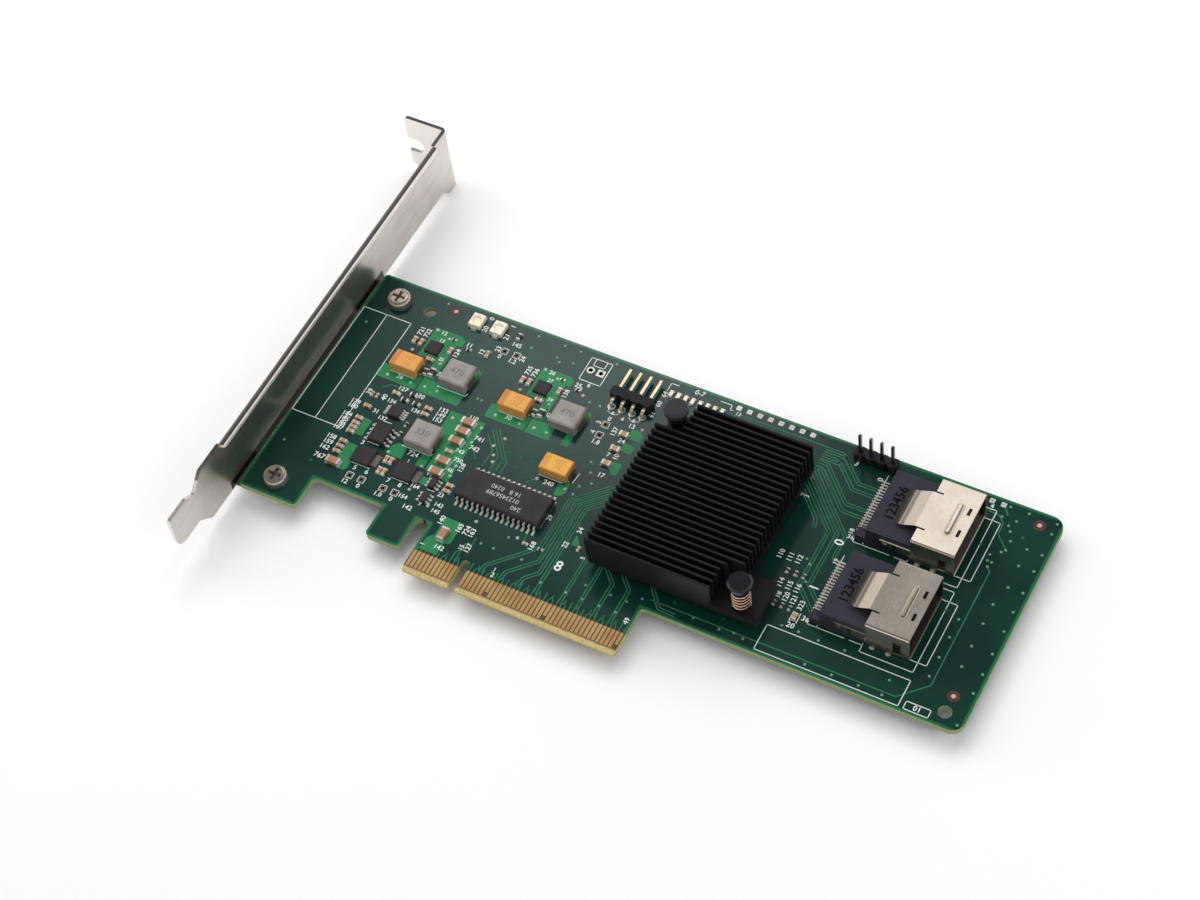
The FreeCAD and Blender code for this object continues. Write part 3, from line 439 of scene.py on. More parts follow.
def makeTantalumFinish(name, node, tone, barTone):
    # moulded orange case with a darker polarity bar at its left end
    middle = middleOf(node)
    paint = Finish(name)
    grain = paint.noise(4.0, 3.0, 0.6)
    bar = (1 - (paint.x - middle.x).ramp(*tantalum["barEnd"])) * paint.facing(2).ramp(0.6, 0.9)
    body = paint.blend(grain.ramp(0.3, 0.7), tint(tone), tint(tantalum["grain"]))
    colour = paint.blend(bar * tantalum["barStrength"], body, tint(barTone))
    return paint.surface(colour, 0.42 + 0.1 * grain, (grain, 0.2, 0.02))


bracketTones = {
    "plate": "d9d3cc",
    "plateDark": "c8c1b9",
    "tab": "ece7e0",             # painted highlight: lighter tone on faces facing along Y, such as the folded top tab, and on the rim's bend
    "lip": "6a6564",             # painted shade on the up-facing top of the folded rim
    "lipStrength": 0.9,
    "lipLevel": 12.2,
    "bendHighlightSpan": (-57.2, -57.05), # painted highlight along the bend at the rim's inner edge
    "tongue": (-6.0, 2.0),       # the lower end reflects less
    "gap": "2c2926",             # in the shade beside the board
    "gapStrength": 0.93,
    "gapSpan": (3.5, 69.5, -5.0, 0.1),   # y from, y to, z from, z to
    "gapSoft": (-0.2, 0.2),
}


def makeBracketFinish():
    tones = bracketTones
    paint = Finish("bracketNickel")
    grain = paint.noise(1.2, 2.0, 0.5, (1.0, 0.12, 1.0))
    colour = paint.mottled(grain, 0.4, 0.08, (0.36, 0.64), tones["plateDark"], tones["plate"])
    # painted highlight on faces that face along Y
    colour = paint.blend(abs(paint.facing(1)).ramp(0.5, 0.9), colour, tint(tones["tab"]))
    high = paint.z > tones["lipLevel"]
    # painted shade on the top of the rim
    lip = paint.facing(2).ramp(0.2, 0.5) * high
    # painted highlight along the rim's bend, also less metallic there
    bendHighlight = paint.x.ramp(*tones["bendHighlightSpan"]) * high
    colour = paint.blend(lip * tones["lipStrength"], colour, tint(tones["lip"]))
    colour = paint.blend(bendHighlight, colour, tint(tones["tab"]))
    y0, y1, z0, z1 = tones["gapSpan"]
    gap = (paint.z - z0).ramp(*tones["gapSoft"]) * (z1 - paint.z).ramp(*tones["gapSoft"])
    gap = gap * (paint.y > y0) * (paint.y < y1) * paint.facing(0).ramp(0.3, 0.6)
    colour = paint.blend(gap * tones["gapStrength"], colour, tint(tones["gap"]))
    tongue = 1 - paint.y.ramp(*tones["tongue"])
    return paint.surface(colour, 0.28 + 0.03 * grain + 0.15 * lip, (grain, 0.015, 0.02),
                         0.965 - 0.6 * bendHighlight - 0.3 * tongue)


finishes = {
    "board": makeBoardFinish(),
    "gold": metalFinish("goldPlate", "d6b27c", "b98d57", 0.3, (8.0, 1.0, 1.0), metal=0.5),
    "pinGold": metalFinish("pinGold", "eee2c6", "cbb98f", 0.16, (1.0, 6.0, 1.0), metal=0.6),
    "pinDark": metalFinish("pinBlack", "8a8478", "5d584e", 0.25, (1.0, 1.0, 4.0)),
    "bracket": makeBracketFinish(),
    "screw": metalFinish("screwNickel", "dccfc4", "a3958a", 0.12, grainScale=1.4, metal=0.75),
    "tin": metalFinish("brightTin", "e8e6e0", "c2c0b8", 0.24, grainScale=3.0, metal=0.5),
    # painted shade: tin darkened for terminals and tabs on the shaded far sides of their parts
    "dullTin": metalFinish("dullTin", "8d857a", "6b635a", 0.35, grainScale=3.0, metal=0.6),
    "portLead": metalFinish("portLeadTin", "dcd6cb", "b0a798", 0.28, (0.3, 1.0, 1.0), 2.0, 0.5),
    "upperShell": shellFinish("upperShellNickel", "sas_port_0_cage", "f3e7d8", "e2d4c2", 0.25),
    # painted shade: same plating as the upper shell, with darker tones for the lower shell's shade
    "shadedLowerShell": shellFinish("lowerShellNickel", "sas_port_1_cage", "b5ada4", "a0978d", 0.5),
    # painted shadow: the upper spring is the same wire as the lower one, darkened for the shadow
    # of its pin's head
    "shadowedWire": metalFinish("springDark", "5a4d45", "3b322c", 0.25, grainScale=2.0),
    "copperWire": metalFinish("springCopper", "ecd0bb", "b98a70", 0.2, grainScale=2.0),
    "substrate": mouldedFinish("substrateGreen", "2c6a40", "245a36", 0.4, strength=0.25),
    "chip": mouldedFinish("chipMould", "393435", "2d292a", 0.5, 6.0, 0.3, shine=0.35),
    "thermal": mouldedFinish("thermalPadGrey", "a9a9a2", "97978f", 0.7, strength=0.25),
    "heatSink": mouldedFinish("blackAnodised", "18181a", "131315", 0.46, 7.0, 0.3, 0.015, 0.3),
    "dullPin": mouldedFinish("pinHeadDull", "303036", "26262c", 0.55, strength=0.3),
    "glossPin": mouldedFinish("pinHeadGloss", "16171c", "101116", 0.16, 4.0, 0.1),
    "housing": mouldedFinish("housingSlate", "34333f", "2c2b36", 0.55, 4.0, 0.3, shine=0.3),
    "ferrite": mouldedFinish("pressedFerrite", "9f9892", "88817b", 0.62, 7.0, 0.5, 0.03),
    "ceramic": mouldedFinish("ceramicBrown", "a97b5e", "95694d", 0.4),
    "ceramicTan": mouldedFinish("ceramicTan", "b98f6c", "a67c5a", 0.4),
    "resistor": mouldedFinish("resistorGlaze", "3b3735", "2a2726", 0.3),
    "lamp": mouldedFinish("lampCream", "efe8d4", "e4d9bd", 0.35),
    "header": mouldedFinish("headerBlack", "1c1a20", "131218", 0.45, strength=0.3),
    # copper, print and marks on the board and the parts
    "pour": mouldedFinish("copperUnderMask", "278350", "1f7444", 0.3, 3.0, 0.1, shine=0.3),
    "trace": mouldedFinish("traceUnderMask", "33795a", "296749", 0.3, 3.0, 0.1, shine=0.3),
    "via": mouldedFinish("coveredVia", "6ba286", "578c72", 0.35, 3.0, 0.1),
    "dimVia": mouldedFinish("dimCoveredVia", "1c5a42", "18503a", 0.35, 3.0, 0.1, shine=0.3),
    "silk": mouldedFinish("printWhite", "e9edea", "d5dbd8", 0.6, 4.0, 0.2),
    "red": mouldedFinish("markRing", "5b2f2b", "4a2824", 0.35, 4.0, 0.1),
    "paleInk": mouldedFinish("markPale", "c4c2c4", "abaaab", 0.6, strength=0.1),
    "coilInk": mouldedFinish("coilInk", "6d6763", "635d59", 0.6, strength=0.1),
    "caseInk": mouldedFinish("caseInk", "c9852c", "bd7a26", 0.5, strength=0.1),
    "darkInk": mouldedFinish("housingInk", "0c0b10", "09080c", 0.5, strength=0.1, shine=0.15),
}

nodeFinishes = {
    "board": ["circuit_board"],
    "gold": ["edge_contacts_front", "edge_contacts_back"],
    "pinGold": ["angle_header_pins"],
    "pinDark": ["post_header_pins"],
    "bracket": ["mounting_bracket"],
    "screw": ["bracket_screw_lower", "bracket_screw_upper"],
    # painted shade: darkened tin
    "dullTin": ["power_switch_tabs", "tantalum_terminals", "inductor_terminals",
                "test_point_rings"],
    "portLead": ["sas_port_0_contacts", "sas_port_1_contacts"],
    "tin": ["controller_solder_balls", "memory_chip_leads", "driver_chip_leads",
            "monitor_chip_leads", "small_transistor_leads", "large_capacitor_terminals",
            "small_capacitor_terminals", "resistor_terminals", "activity_lamp_terminals",
            "status_lamp_terminals"],
    "upperShell": ["sas_port_0_cage"],
    "shadedLowerShell": ["sas_port_1_cage"],
    "copperWire": ["push_pin_spring_lower"],
    "shadowedWire": ["push_pin_spring_upper"],
    "substrate": ["controller_substrate"],
    "chip": ["controller_mould", "memory_chip_body", "driver_chip_body", "monitor_chip_body",
             "power_switch_0", "power_switch_1", "small_transistor_bodies", "regulator_chip_0",
             "regulator_chip_1"],
    "thermal": ["thermal_pad"],
    "heatSink": ["heat_sink"],
    "dullPin": ["push_pin_upper"],
    "glossPin": ["push_pin_lower"],
    "housing": ["sas_port_0_housing", "sas_port_1_housing"],
    "ferrite": ["inductor_0", "inductor_1", "inductor_2"],
    "ceramic": ["large_capacitor_bodies"],
    "ceramicTan": ["small_capacitor_bodies"],
    "resistor": ["resistor_bodies"],
    "lamp": ["activity_lamp_bodies", "status_lamp_bodies"],
    "header": ["angle_header_block", "post_header_block"],
}


def dressNode(name, material):
    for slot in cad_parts[name].material_slots:
        slot.material = material


for finishName, names in nodeFinishes.items():
    for nodeName in names:
        dressNode(nodeName, finishes[finishName])
for index, tones in enumerate(tantalum["tones"]):
    capName = f"tantalum_capacitor_{index}"
    dressNode(capName, makeTantalumFinish(f"tantalumCase{index}", capName, *tones))


print("stage: growing trees")


class Grower(NodeTree):
    # a Geometry Nodes tree for whatever repeats or follows a line; its named inputs are lengths
    # in millimetres and plain numbers, set by identifier
    def __init__(self, name, lengths, numbers):
        group = bpy.data.node_groups.new(name, "GeometryNodeTree")
        super().__init__(group)
        faces = group.interface
        faces.new_socket("Geometry", in_out="INPUT", socket_type="NodeSocketGeometry")
        self.lengths = lengths
        self.keys = {}
        for label, value in (lengths | numbers).items():
            kind = "NodeSocketInt" if isinstance(value, int) else "NodeSocketFloat"
            socket = faces.new_socket(label, in_out="INPUT", socket_type=kind)
            socket.default_value = self.sized(label, value)
            self.keys[label] = socket.identifier
        finish = faces.new_socket("Finish", in_out="INPUT", socket_type="NodeSocketMaterial")
        self.keys["Finish"] = finish.identifier
        faces.new_socket("Geometry", in_out="OUTPUT", socket_type="NodeSocketGeometry")
        self.entry = group.nodes.new("NodeGroupInput")
        self.exit = group.nodes.new("NodeGroupOutput")
        self.base = self.given("Geometry")

    def sized(self, label, value):
        return value * mm if label in self.lengths else value

    def given(self, label):
        return Signal(self, self.entry.outputs[label])

    def stored(self, label):
        return self.add("GeometryNodeInputNamedAttribute", {"data_type": "FLOAT"}, {"Name": label})

    def vector(self, x, y, z):
        return self.add("ShaderNodeCombineXYZ", None, {0: x, 1: y, 2: z})

    def joined(self, *parts):
        node = self.tree.nodes.new("GeometryNodeJoinGeometry")
        for part in parts:
            self.tree.links.new(part.socket, node.inputs[0])
        return Signal(self, node.outputs[0])

    def shifted(self, geometry, x):
        return self.add("GeometryNodeTransform", None,
                        {"Geometry": geometry, "Translation": self.vector(x, 0.0, 0.0)})

    def oblong(self, width, height):
        return self.add("GeometryNodeCurvePrimitiveQuadrilateral", {"mode": "RECTANGLE"},
                        {"Width": width, "Height": height})

    def softened(self, curve, count):
        return self.add("GeometryNodeFilletCurve", {"mode": "POLY"},
                        {"Curve": curve, "Radius": self.given("Corner"), "Count": count,
                         "Limit Radius": True})

    def spread(self, item):
        # one on every point of the base, with the width and length stored there
        scale = self.vector(self.stored("wide") * mm, self.stored("long") * mm, 1.0)
        return self.add("GeometryNodeInstanceOnPoints", None,
                        {"Points": self.base, "Instance": item, "Scale": scale})

    def close(self, geometry):
        plain = self.add("GeometryNodeRealizeInstances", None, {0: geometry})
        dressed = self.add("GeometryNodeSetMaterial", None,
                           {"Geometry": plain, "Material": self.given("Finish")})
        self.tree.links.new(dressed.socket, self.exit.inputs[0])
        return self

    def grow(self, base, name, slot, finishName, **values):
        finish = finishes[finishName]
        modifier = base.modifiers.new("growth", "NODES")
        modifier.node_group = self.tree
        modifier[self.keys["Finish"]] = finish
        for label, value in values.items():
            modifier[self.keys[label]] = self.sized(label, value)
        ready = base.evaluated_get(bpy.context.evaluated_depsgraph_get())
        mesh = bpy.data.meshes.new_from_object(ready)
        base.modifiers.remove(modifier)
        bpy.data.objects.remove(base)
        mesh.materials.clear()           # an empty slot can come before the finish
        mesh.polygons.foreach_set("material_index", [0] * len(mesh.polygons))
        return placePiece(name, mesh, finishName)


def placePiece(name, mesh, finishName):
    mesh.name = name
    mesh.materials.append(finishes[finishName])
    for extra in [layer.name for layer in mesh.attributes if layer.name in ("wide", "long")]:
        mesh.attributes.remove(mesh.attributes[extra])
    piece = newObject(name, mesh)
    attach(piece, "root")
    return piece


def placeShape(name, shape, finishName):
    mesh = bpy.data.meshes.new(name)
    shape.to_mesh(mesh)
    shape.free()
    return placePiece(name, mesh, finishName)


def baseMesh(points, edges=(), **values):
    # points in millimetres, with a number for each point under each name
    mesh = bpy.data.meshes.new("base")
    mesh.from_pydata([Vector(point) * mm for point in points], edges, [])
    for label, numbers in values.items():
        mesh.attributes.new(label, "FLOAT", "POINT").data.foreach_set("value", numbers)
    return newObject("base", mesh)


def linesBase(lines, level, reach=0.0):
    # each run of points as edges; with a reach, every stretch stands alone and is that much longer
    points, edges = [], []
    for line in lines:
        spots = [Vector((x, y, level)) for x, y in line]
        if not reach:
            edges += [(len(points) + i, len(points) + i + 1) for i in range(len(spots) - 1)]
            points += spots
            continue
        for first, last in zip(spots, spots[1:]):
            step = (last - first).normalized() * reach
            edges.append((len(points), len(points) + 1))
            points += [first - step, last + step]
    return baseMesh(points, edges)


def spotsBase(spots, level, side=None):
    # spots: x, y, width and length, or x and y alone where all are as wide and long as side
    rows = spots if side is None else [(x, y, side, side) for x, y in spots]
    return baseMesh([(row[0], row[1], level) for row in rows],
                    wide=[row[2] for row in rows], long=[row[3] for row in rows])


def makeRibbonTree(name, paired):
    # a flat strip, or two side by side, along every run of the base
    lengths = {"Width": 0.3, "Thickness": 0.03, "Corner": 0.3}
    if paired:
        lengths["Gap"] = 0.4
    tree = Grower(name, lengths, {})
    runs = tree.add("GeometryNodeMeshToCurve", None, {0: tree.base})
    level = tree.add("GeometryNodeSetCurveNormal", {"mode": "Z_UP"}, {0: tree.softened(runs, 3)})
    strip = tree.oblong(tree.given("Width"), tree.given("Thickness"))
    if paired:
        offset = (tree.given("Width") + tree.given("Gap")) * 0.5
        strip = tree.joined(tree.shifted(strip, offset), tree.shifted(strip, -offset))
    swept = tree.add("GeometryNodeCurveToMesh", None,
                     {"Curve": level, "Profile Curve": strip, "Fill Caps": True})
    return tree.close(swept)


def makePlateTree(name, holed):
    # a thin plate with rounded corners, and a round hole if asked, on every point
    numbers = {"Corner": 0.2, "Segments": 3}
    if holed:
        numbers["Hole"] = 0.4
    tree = Grower(name, {"Height": 0.05}, numbers)
    outline = tree.softened(tree.oblong(1.0, 1.0), tree.given("Segments"))
    if holed:
        hole = tree.add("GeometryNodeCurvePrimitiveCircle", {"mode": "RADIUS"},
                        {"Resolution": 16, "Radius": tree.given("Hole") * 0.5})
        outline = tree.joined(outline, hole)
    sheet = tree.add("GeometryNodeFillCurve", {"mode": "TRIANGLES" if holed else "NGONS"},
                     {"Curve": outline})
    wall = tree.add("GeometryNodeExtrudeMesh", {"mode": "FACES"},
                    {"Mesh": sheet, "Offset Scale": tree.given("Height"), "Individual": False})
    under = tree.add("GeometryNodeFlipFaces", None, {"Mesh": sheet})
    return tree.close(tree.spread(tree.joined(wall, under)))


def makeMoundTree(name):
    # a soft heap of solder on every point; top and foot are radii in parts of its width
    tree = Grower(name, {"Height": 0.3}, {"Top": 0.28, "Foot": 0.5, "Sides": 10})
    heap = tree.add("GeometryNodeMeshCone", {"fill_type": "TRIANGLE_FAN"},
                    {"Vertices": tree.given("Sides"), "Side Segments": 2, "Fill Segments": 1,
                     "Radius Top": tree.given("Top"), "Radius Bottom": tree.given("Foot"),
                     "Depth": tree.given("Height")})
    return tree.close(tree.spread(tree.add("GeometryNodeSetShadeSmooth", None, {0: heap})))


ribbonTree = makeRibbonTree("flatStrip", False)
pairTree = makeRibbonTree("twinStrip", True)
plateTree = makePlateTree("roundedPlate", False)
ringTree = makePlateTree("holedPlate", True)
moundTree = makeMoundTree("solderHeap")


def looseBoxes(nodeName):
    # lowest and highest corner, in millimetres, of each separate solid in a node
    shape = bmesh.new()
    shape.from_mesh(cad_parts[nodeName].data)
    bmesh.ops.remove_doubles(shape, verts=shape.verts, dist=1e-7)
    waiting = set(shape.verts)
    boxes = []
    while waiting:
        group = [waiting.pop()]
        for vert in group:
            for edge in vert.link_edges:
                other = edge.other_vert(vert)
                if other in waiting:
                    waiting.remove(other)
                    group.append(other)
        places = [vert.co / mm for vert in group]
        boxes.append([Vector([pick(place[i] for place in places) for i in range(3)])
                      for pick in (min, max)])
    shape.free()
    return sorted(boxes, key=lambda pair: (round(pair[0].x, 3), round(pair[0].y, 3), pair[0].z))


fontRatio = 1.38                 # the font's size over the height of its figures


def printFigures(name, entries, finishName, thickness=0.02, weight=0.018, over=0):
    # entries: figures, x, y, z, height of the figures, turn in degrees; over=180 faces down
    holders = []
    for figures, x, y, z, size, turn in entries:
        curve = bpy.data.curves.new("figures", "FONT")
        curve.body = figures
        curve.size = size * fontRatio * mm
        curve.resolution_u = 2
        curve.extrude = thickness * mm / 2
        curve.offset = weight * size * mm
        curve.align_x = "CENTER"
        curve.align_y = "CENTER"
        place = Matrix.Translation(Vector((x, y, z)) * mm)
        for angle, axis in ((over, "Y"), (turn, "Z")):
            place = place @ Matrix.Rotation(math.radians(angle), 4, axis)
        holders.append((newObject("figures", curve), place))
    graph = bpy.context.evaluated_depsgraph_get()
    shape = bmesh.new()
    for holder, place in holders:
        mesh = bpy.data.meshes.new_from_object(holder.evaluated_get(graph))
        mesh.transform(place)
        shape.from_mesh(mesh)
        bpy.data.meshes.remove(mesh)
        bpy.data.objects.remove(holder)
    return placeShape(name, shape, finishName)


def placeFigures(groups, level, across=0.0, along=0.0, more=0):
    # groups by height and turn; more is added to every number
    entries = []
    for (size, turn), rows in groups.items():
        for figures, x, y in rows:
            shown = str(int(figures) + more) if more else figures
            entries.append((shown, across + x, along + y, level, size, turn))
    return entries


def cutPlates(name, outlines, low, high):
    # flat copper with any outline, counterclockwise seen from above
    shape = bmesh.new()
    for outline in outlines:
        under, over = ([shape.verts.new(Vector((x, y, level)) * mm) for x, y in outline]
                       for level in (low, high))
        shape.faces.new(over)
        shape.faces.new(under[::-1])
        for i in range(len(outline)):
            shape.faces.new((under[i - 1], under[i], over[i], over[i - 1]))
    bmesh.ops.recalc_face_normals(shape, faces=shape.faces)
    return placeShape(name, shape, "pour")


def rectangle(x0, y0, x1, y1):
    return [(x0, y0), (x1, y0), (x1, y1), (x0, y1)]


def closed(outline):
    return outline + outline[:1]


print("stage: copper under the mask")
traceShape = {"Width": 0.3, "Thickness": 0.03, "Corner": 0.5}
pairShape = dict(traceShape, Gap=0.36)
stubShape = dict(traceShape, Width=0.26, Corner=0.2)
silkShape = {"Width": 0.2, "Thickness": 0.02, "Corner": 0.0}
testFrameShape = dict(silkShape, Width=0.15)

copper = {
    "pourSpan": (-0.01, 0.03),
    "traceLevel": 0.012,
    "viaSide": 0.6,
    "viaHeight": 0.035,
    "dimViaSide": 0.8,
    "solderViaSide": 0.85,
    "solderViaHeight": 0.12,
    # stubs above the edge fingers
    "stubRows": ((-11.5, 11), (1.5, 38)),    # first x and count, one millimetre apart
    "stubLeans": (0.45, -0.45, 0.0),         # sideways, by turns
    "stubBends": (5.3, 6.2, 7.0, 7.2),       # y of their start, bends and end
    "stubLonger": 0.5,                       # every other one
    "stubLevel": 0.011,
    "cellOrigin": (-25.75, 48.95),
    "cellPitch": 28.0,
    # outlines in the first regulator cell, from the middle of its inductor
    "cellPours": [
        [(-12.15, 2.6), (-7.65, 2.6), (-7.65, -2.4), (-5.2, -2.4), (-5.2, 8.3), (-4.0, 8.4),
         (-4.0, 10.0), (-5.0, 10.95), (-12.15, 10.95)],
        rectangle(-17.95, -6.4, -7.95, -2.6),
        [(2.9, 1.4), (3.9, 1.4), (3.9, 3.6), (2.9, 4.3)],
    ],
    "pours": [
        rectangle(-33.3, 42.4, -22.5, 46.4),
        rectangle(-5.4, 42.4, 0.5, 46.4),
        rectangle(3.6, 42.6, 5.3, 46.2),
        [(-20.4, 24.4), (-14.2, 23.6), (-14.2, 40.8), (-23.0, 40.8), (-23.0, 33.4), (-20.8, 33.0)],
        [(-30.4, 24.8), (-26.8, 24.8), (-26.8, 28.4), (-29.2, 28.4), (-30.4, 27.2)],
        rectangle(-23.1, 24.6, -20.9, 28.4),
        rectangle(-39.8, 26.6, -37.9, 31.2),
        [(-39.9, 17.0), (-37.0, 17.0), (-36.5, 17.6), (-36.5, 20.2), (-37.3, 20.2), (-37.3, 24.0),
         (-39.9, 24.0)],
        rectangle(-20.5, 20.8, -17.9, 22.8),
        [(-11.2, 6.1), (-6.9, 6.1), (-6.9, 9.3), (-5.6, 9.8), (-5.6, 15.5), (-9.9, 15.5),
         (-9.9, 10.6), (-11.2, 9.2)],
        [(8.6, 30.3), (9.7, 30.3), (10.8, 31.7), (10.8, 34.4), (9.6, 34.4), (9.6, 33.3),
         (8.2, 33.3)],
        [(16.3, 50.0), (19.3, 50.0), (19.3, 51.8), (18.4, 52.8), (16.3, 52.8)],
        rectangle(16.4, 46.4, 19.0, 48.7),
        [(16.4, 41.2), (17.6, 40.1), (18.6, 40.1), (18.6, 43.4), (16.4, 43.4)],
        [(18.2, 20.4), (20.4, 20.4), (18.2, 23.3)],
    ],
    "pairs": [
        [(3.8, 6.3), (4.0, 8.2), (12.6, 17.0), (12.6, 30.4), (19.8, 37.6)],
        [(8.5, 6.3), (8.8, 8.5), (14.05, 13.8), (14.05, 30.2), (19.8, 35.9)],
        [(12.7, 6.3), (13.0, 8.7), (15.5, 11.2), (15.5, 30.0), (19.9, 34.3)],
        [(16.95, 6.3), (16.95, 29.7), (20.0, 32.7)],
        [(22.95, 6.3), (22.95, 18.6)],
        [(26.9, 6.3), (26.9, 18.8)],
        [(30.95, 6.3), (30.95, 15.2), (27.8, 18.6)],
        [(34.85, 6.3), (34.85, 15.3), (31.7, 18.6)],
        [(46.5, 13.8), (42.6, 13.9), (38.8, 18.4)],
        [(57.0, 64.75), (61.9, 64.75), (67.2, 59.7), (71.9, 59.7)],
        [(57.0, 62.7), (61.6, 62.7), (66.7, 57.8), (71.9, 57.8)],
        [(57.0, 61.5), (59.2, 61.5), (66.9, 53.9), (71.9, 53.9)],
        [(57.0, 60.0), (58.6, 60.0), (66.9, 51.9), (71.9, 51.9)],
        [(57.0, 57.6), (68.5, 46.1), (68.5, 32.2), (71.9, 29.0)],
        [(57.0, 55.6), (66.6, 46.0), (66.6, 31.4), (71.9, 26.3)],
        [(57.0, 59.6), (70.4, 46.2), (70.4, 40.6), (71.9, 39.2)],
        [(57.0, 53.6), (62.6, 48.0), (63.4, 45.6)],
    ],
    "traces": [
        [(34.8, 64.6), (36.0, 65.75), (61.2, 65.75), (63.3, 63.8)],
        [(57.0, 63.7), (60.3, 63.7), (61.6, 62.6)],
        [(40.0, 15.2), (95.9, 15.2), (101.25, 20.5), (101.25, 50.6), (100.3, 51.4)],
        [(94.9, 64.7), (97.6, 64.4), (99.1, 62.9), (99.1, 60.0), (102.2, 56.9)],
        [(97.8, 67.0), (99.2, 65.1)],
        [(-12.4, 38.6), (-9.3, 35.2), (-9.3, 30.4)],
        [(-12.0, 40.0), (-7.3, 34.2), (-7.3, 30.4)],
        [(-11.4, 40.4), (-6.0, 33.9), (-6.0, 30.4)],
        [(-10.6, 40.8), (-4.8, 33.4), (-4.8, 30.4)],
        [(-15.2, 35.4), (-11.6, 31.6)],
        [(3.2, 32.4), (1.4, 30.5)],
        [(8.4, 19.2), (8.4, 17.2), (9.6, 16.0)],
        [(-2.6, 6.3), (-2.6, 11.4)],
        [(-3.5, 6.3), (-3.5, 8.6), (-1.2, 11.0), (-1.2, 13.4)],
        [(-19.9, 31.4), (-20.9, 33.6), (-20.9, 40.2)],
        [(-33.6, 41.6), (-39.2, 41.6), (-40.6, 40.2)],
    ],
    "coveredVias": [
        (101.4, 64.5), (98.2, 64.4), (103.1, 67.4), (98.9, 67.4), (109.4, 67.3), (109.3, 64.5),
        (100.3, 62.8), (101.2, 61.6), (102.2, 59.4), (106.1, 58.9), (109.5, 58.8), (102.2, 56.9),
        (101.5, 56.1), (99.6, 54.6), (106.1, 54.4), (109.5, 54.4), (99.7, 53.0), (100.7, 52.9),
        (100.3, 51.6), (106.2, 48.6), (109.5, 48.6), (105.0, 43.5), (109.5, 43.5), (105.0, 38.4),
        (109.6, 38.4), (100.1, 37.3), (105.0, 32.5), (109.6, 32.5), (100.1, 32.6), (105.1, 27.2),
        (109.7, 27.2), (100.1, 27.3), (100.1, 22.4), (109.7, 22.4), (109.7, 14.3), (93.2, 18.2),
        (76.1, 20.7), (82.0, 20.8), (59.5, 15.1), (61.8, 14.6), (76.0, 14.4), (82.0, 14.4),
        (88.0, 14.4), (93.2, 14.4), (71.5, 20.9), (67.7, 20.9), (56.3, 14.6), (50.2, 14.9),
        (-3.3, 17.2), (6.9, 17.2), (0.4, 12.7), (3.5, 12.7), (10.4, 12.7), (25.9, 12.7),
        (31.9, 12.7), (35.7, 12.7), (38.4, 14.6), (5.1, 16.5), (26.9, 9.3), (30.9, 9.3),
        (34.8, 9.3), (16.9, 9.3), (22.9, 9.3), (-8.4, 67.1), (-4.3, 67.1), (-8.5, 63.5),
        (-4.3, 63.5), (-7.4, 62.5), (4.7, 67.2), (-38.7, 67.0), (-15.1, 67.1), (-15.1, 63.5),
        (-19.3, 46.1), (-18.2, 46.1), (-53.6, 54.8), (-53.4, 18.7), (57.6, 52.6), (65.3, 33.1),
        (67.6, 32.6), (65.4, 37.9), (66.5, 36.9), (9.0, 55.0), (10.3, 32.5), (12.4, 32.1),
        (14.8, 36.2), (12.0, 41.2), (13.2, 38.7), (12.7, 34.5), (6.7, 55.4), (4.1, 55.4),
    ],
    "dimVias": [
        (-5.7, 36.1), (-2.6, 36.0), (0.5, 36.0), (-5.7, 33.1), (-2.6, 33.1), (0.5, 33.1),
        (10.9, 39.6), (13.0, 39.7), (12.8, 40.9), (6.3, 41.4), (-38.0, 50.0), (-45.0, 16.4),
        (56.0, 17.2), (104.2, 61.2), (97.0, 38.2), (97.0, 56.2), (45.0, 16.6),
    ],
    "solderVias": [
        (-8.3, 39.0), (-9.7, 36.3), (-8.5, 34.1), (-7.8, 32.4), (3.3, 32.5), (-21.8, 39.2),
        (-14.5, 39.4), (-14.6, 35.1), (-14.6, 28.1), (-14.5, 25.3), (-21.6, 25.0), (-30.3, 25.3),
        (18.3, 53.4), (10.2, 32.6), (-3.3, 17.2), (6.9, 17.2), (1.9, 56.4), (-16.0, 22.0),
        (-15.0, 16.4), (-20.9, 18.5),
    ],
    # from the middle of a cell's inductor
    "cellSolderVias": [
        (-11.45, 10.45), (-7.75, 9.25), (-14.05, 3.25), (-6.15, 2.25), (-6.15, -4.75),
        (-2.95, -4.75), (-15.65, -5.15), (-9.65, -5.05), (-8.85, -0.35), (-8.95, -2.2),
    ],
}


def cells(outlines):
    # the same outlines or spots in both regulator cells
    x0, y0 = copper["cellOrigin"]
    shifts = (0.0, copper["cellPitch"])
    return [[(x0 + shift + x, y0 + y) for x, y in outline]
            for shift in shifts for outline in outlines]


def solderVias():
    return copper["solderVias"] + sum(cells([copper["cellSolderVias"]]), [])


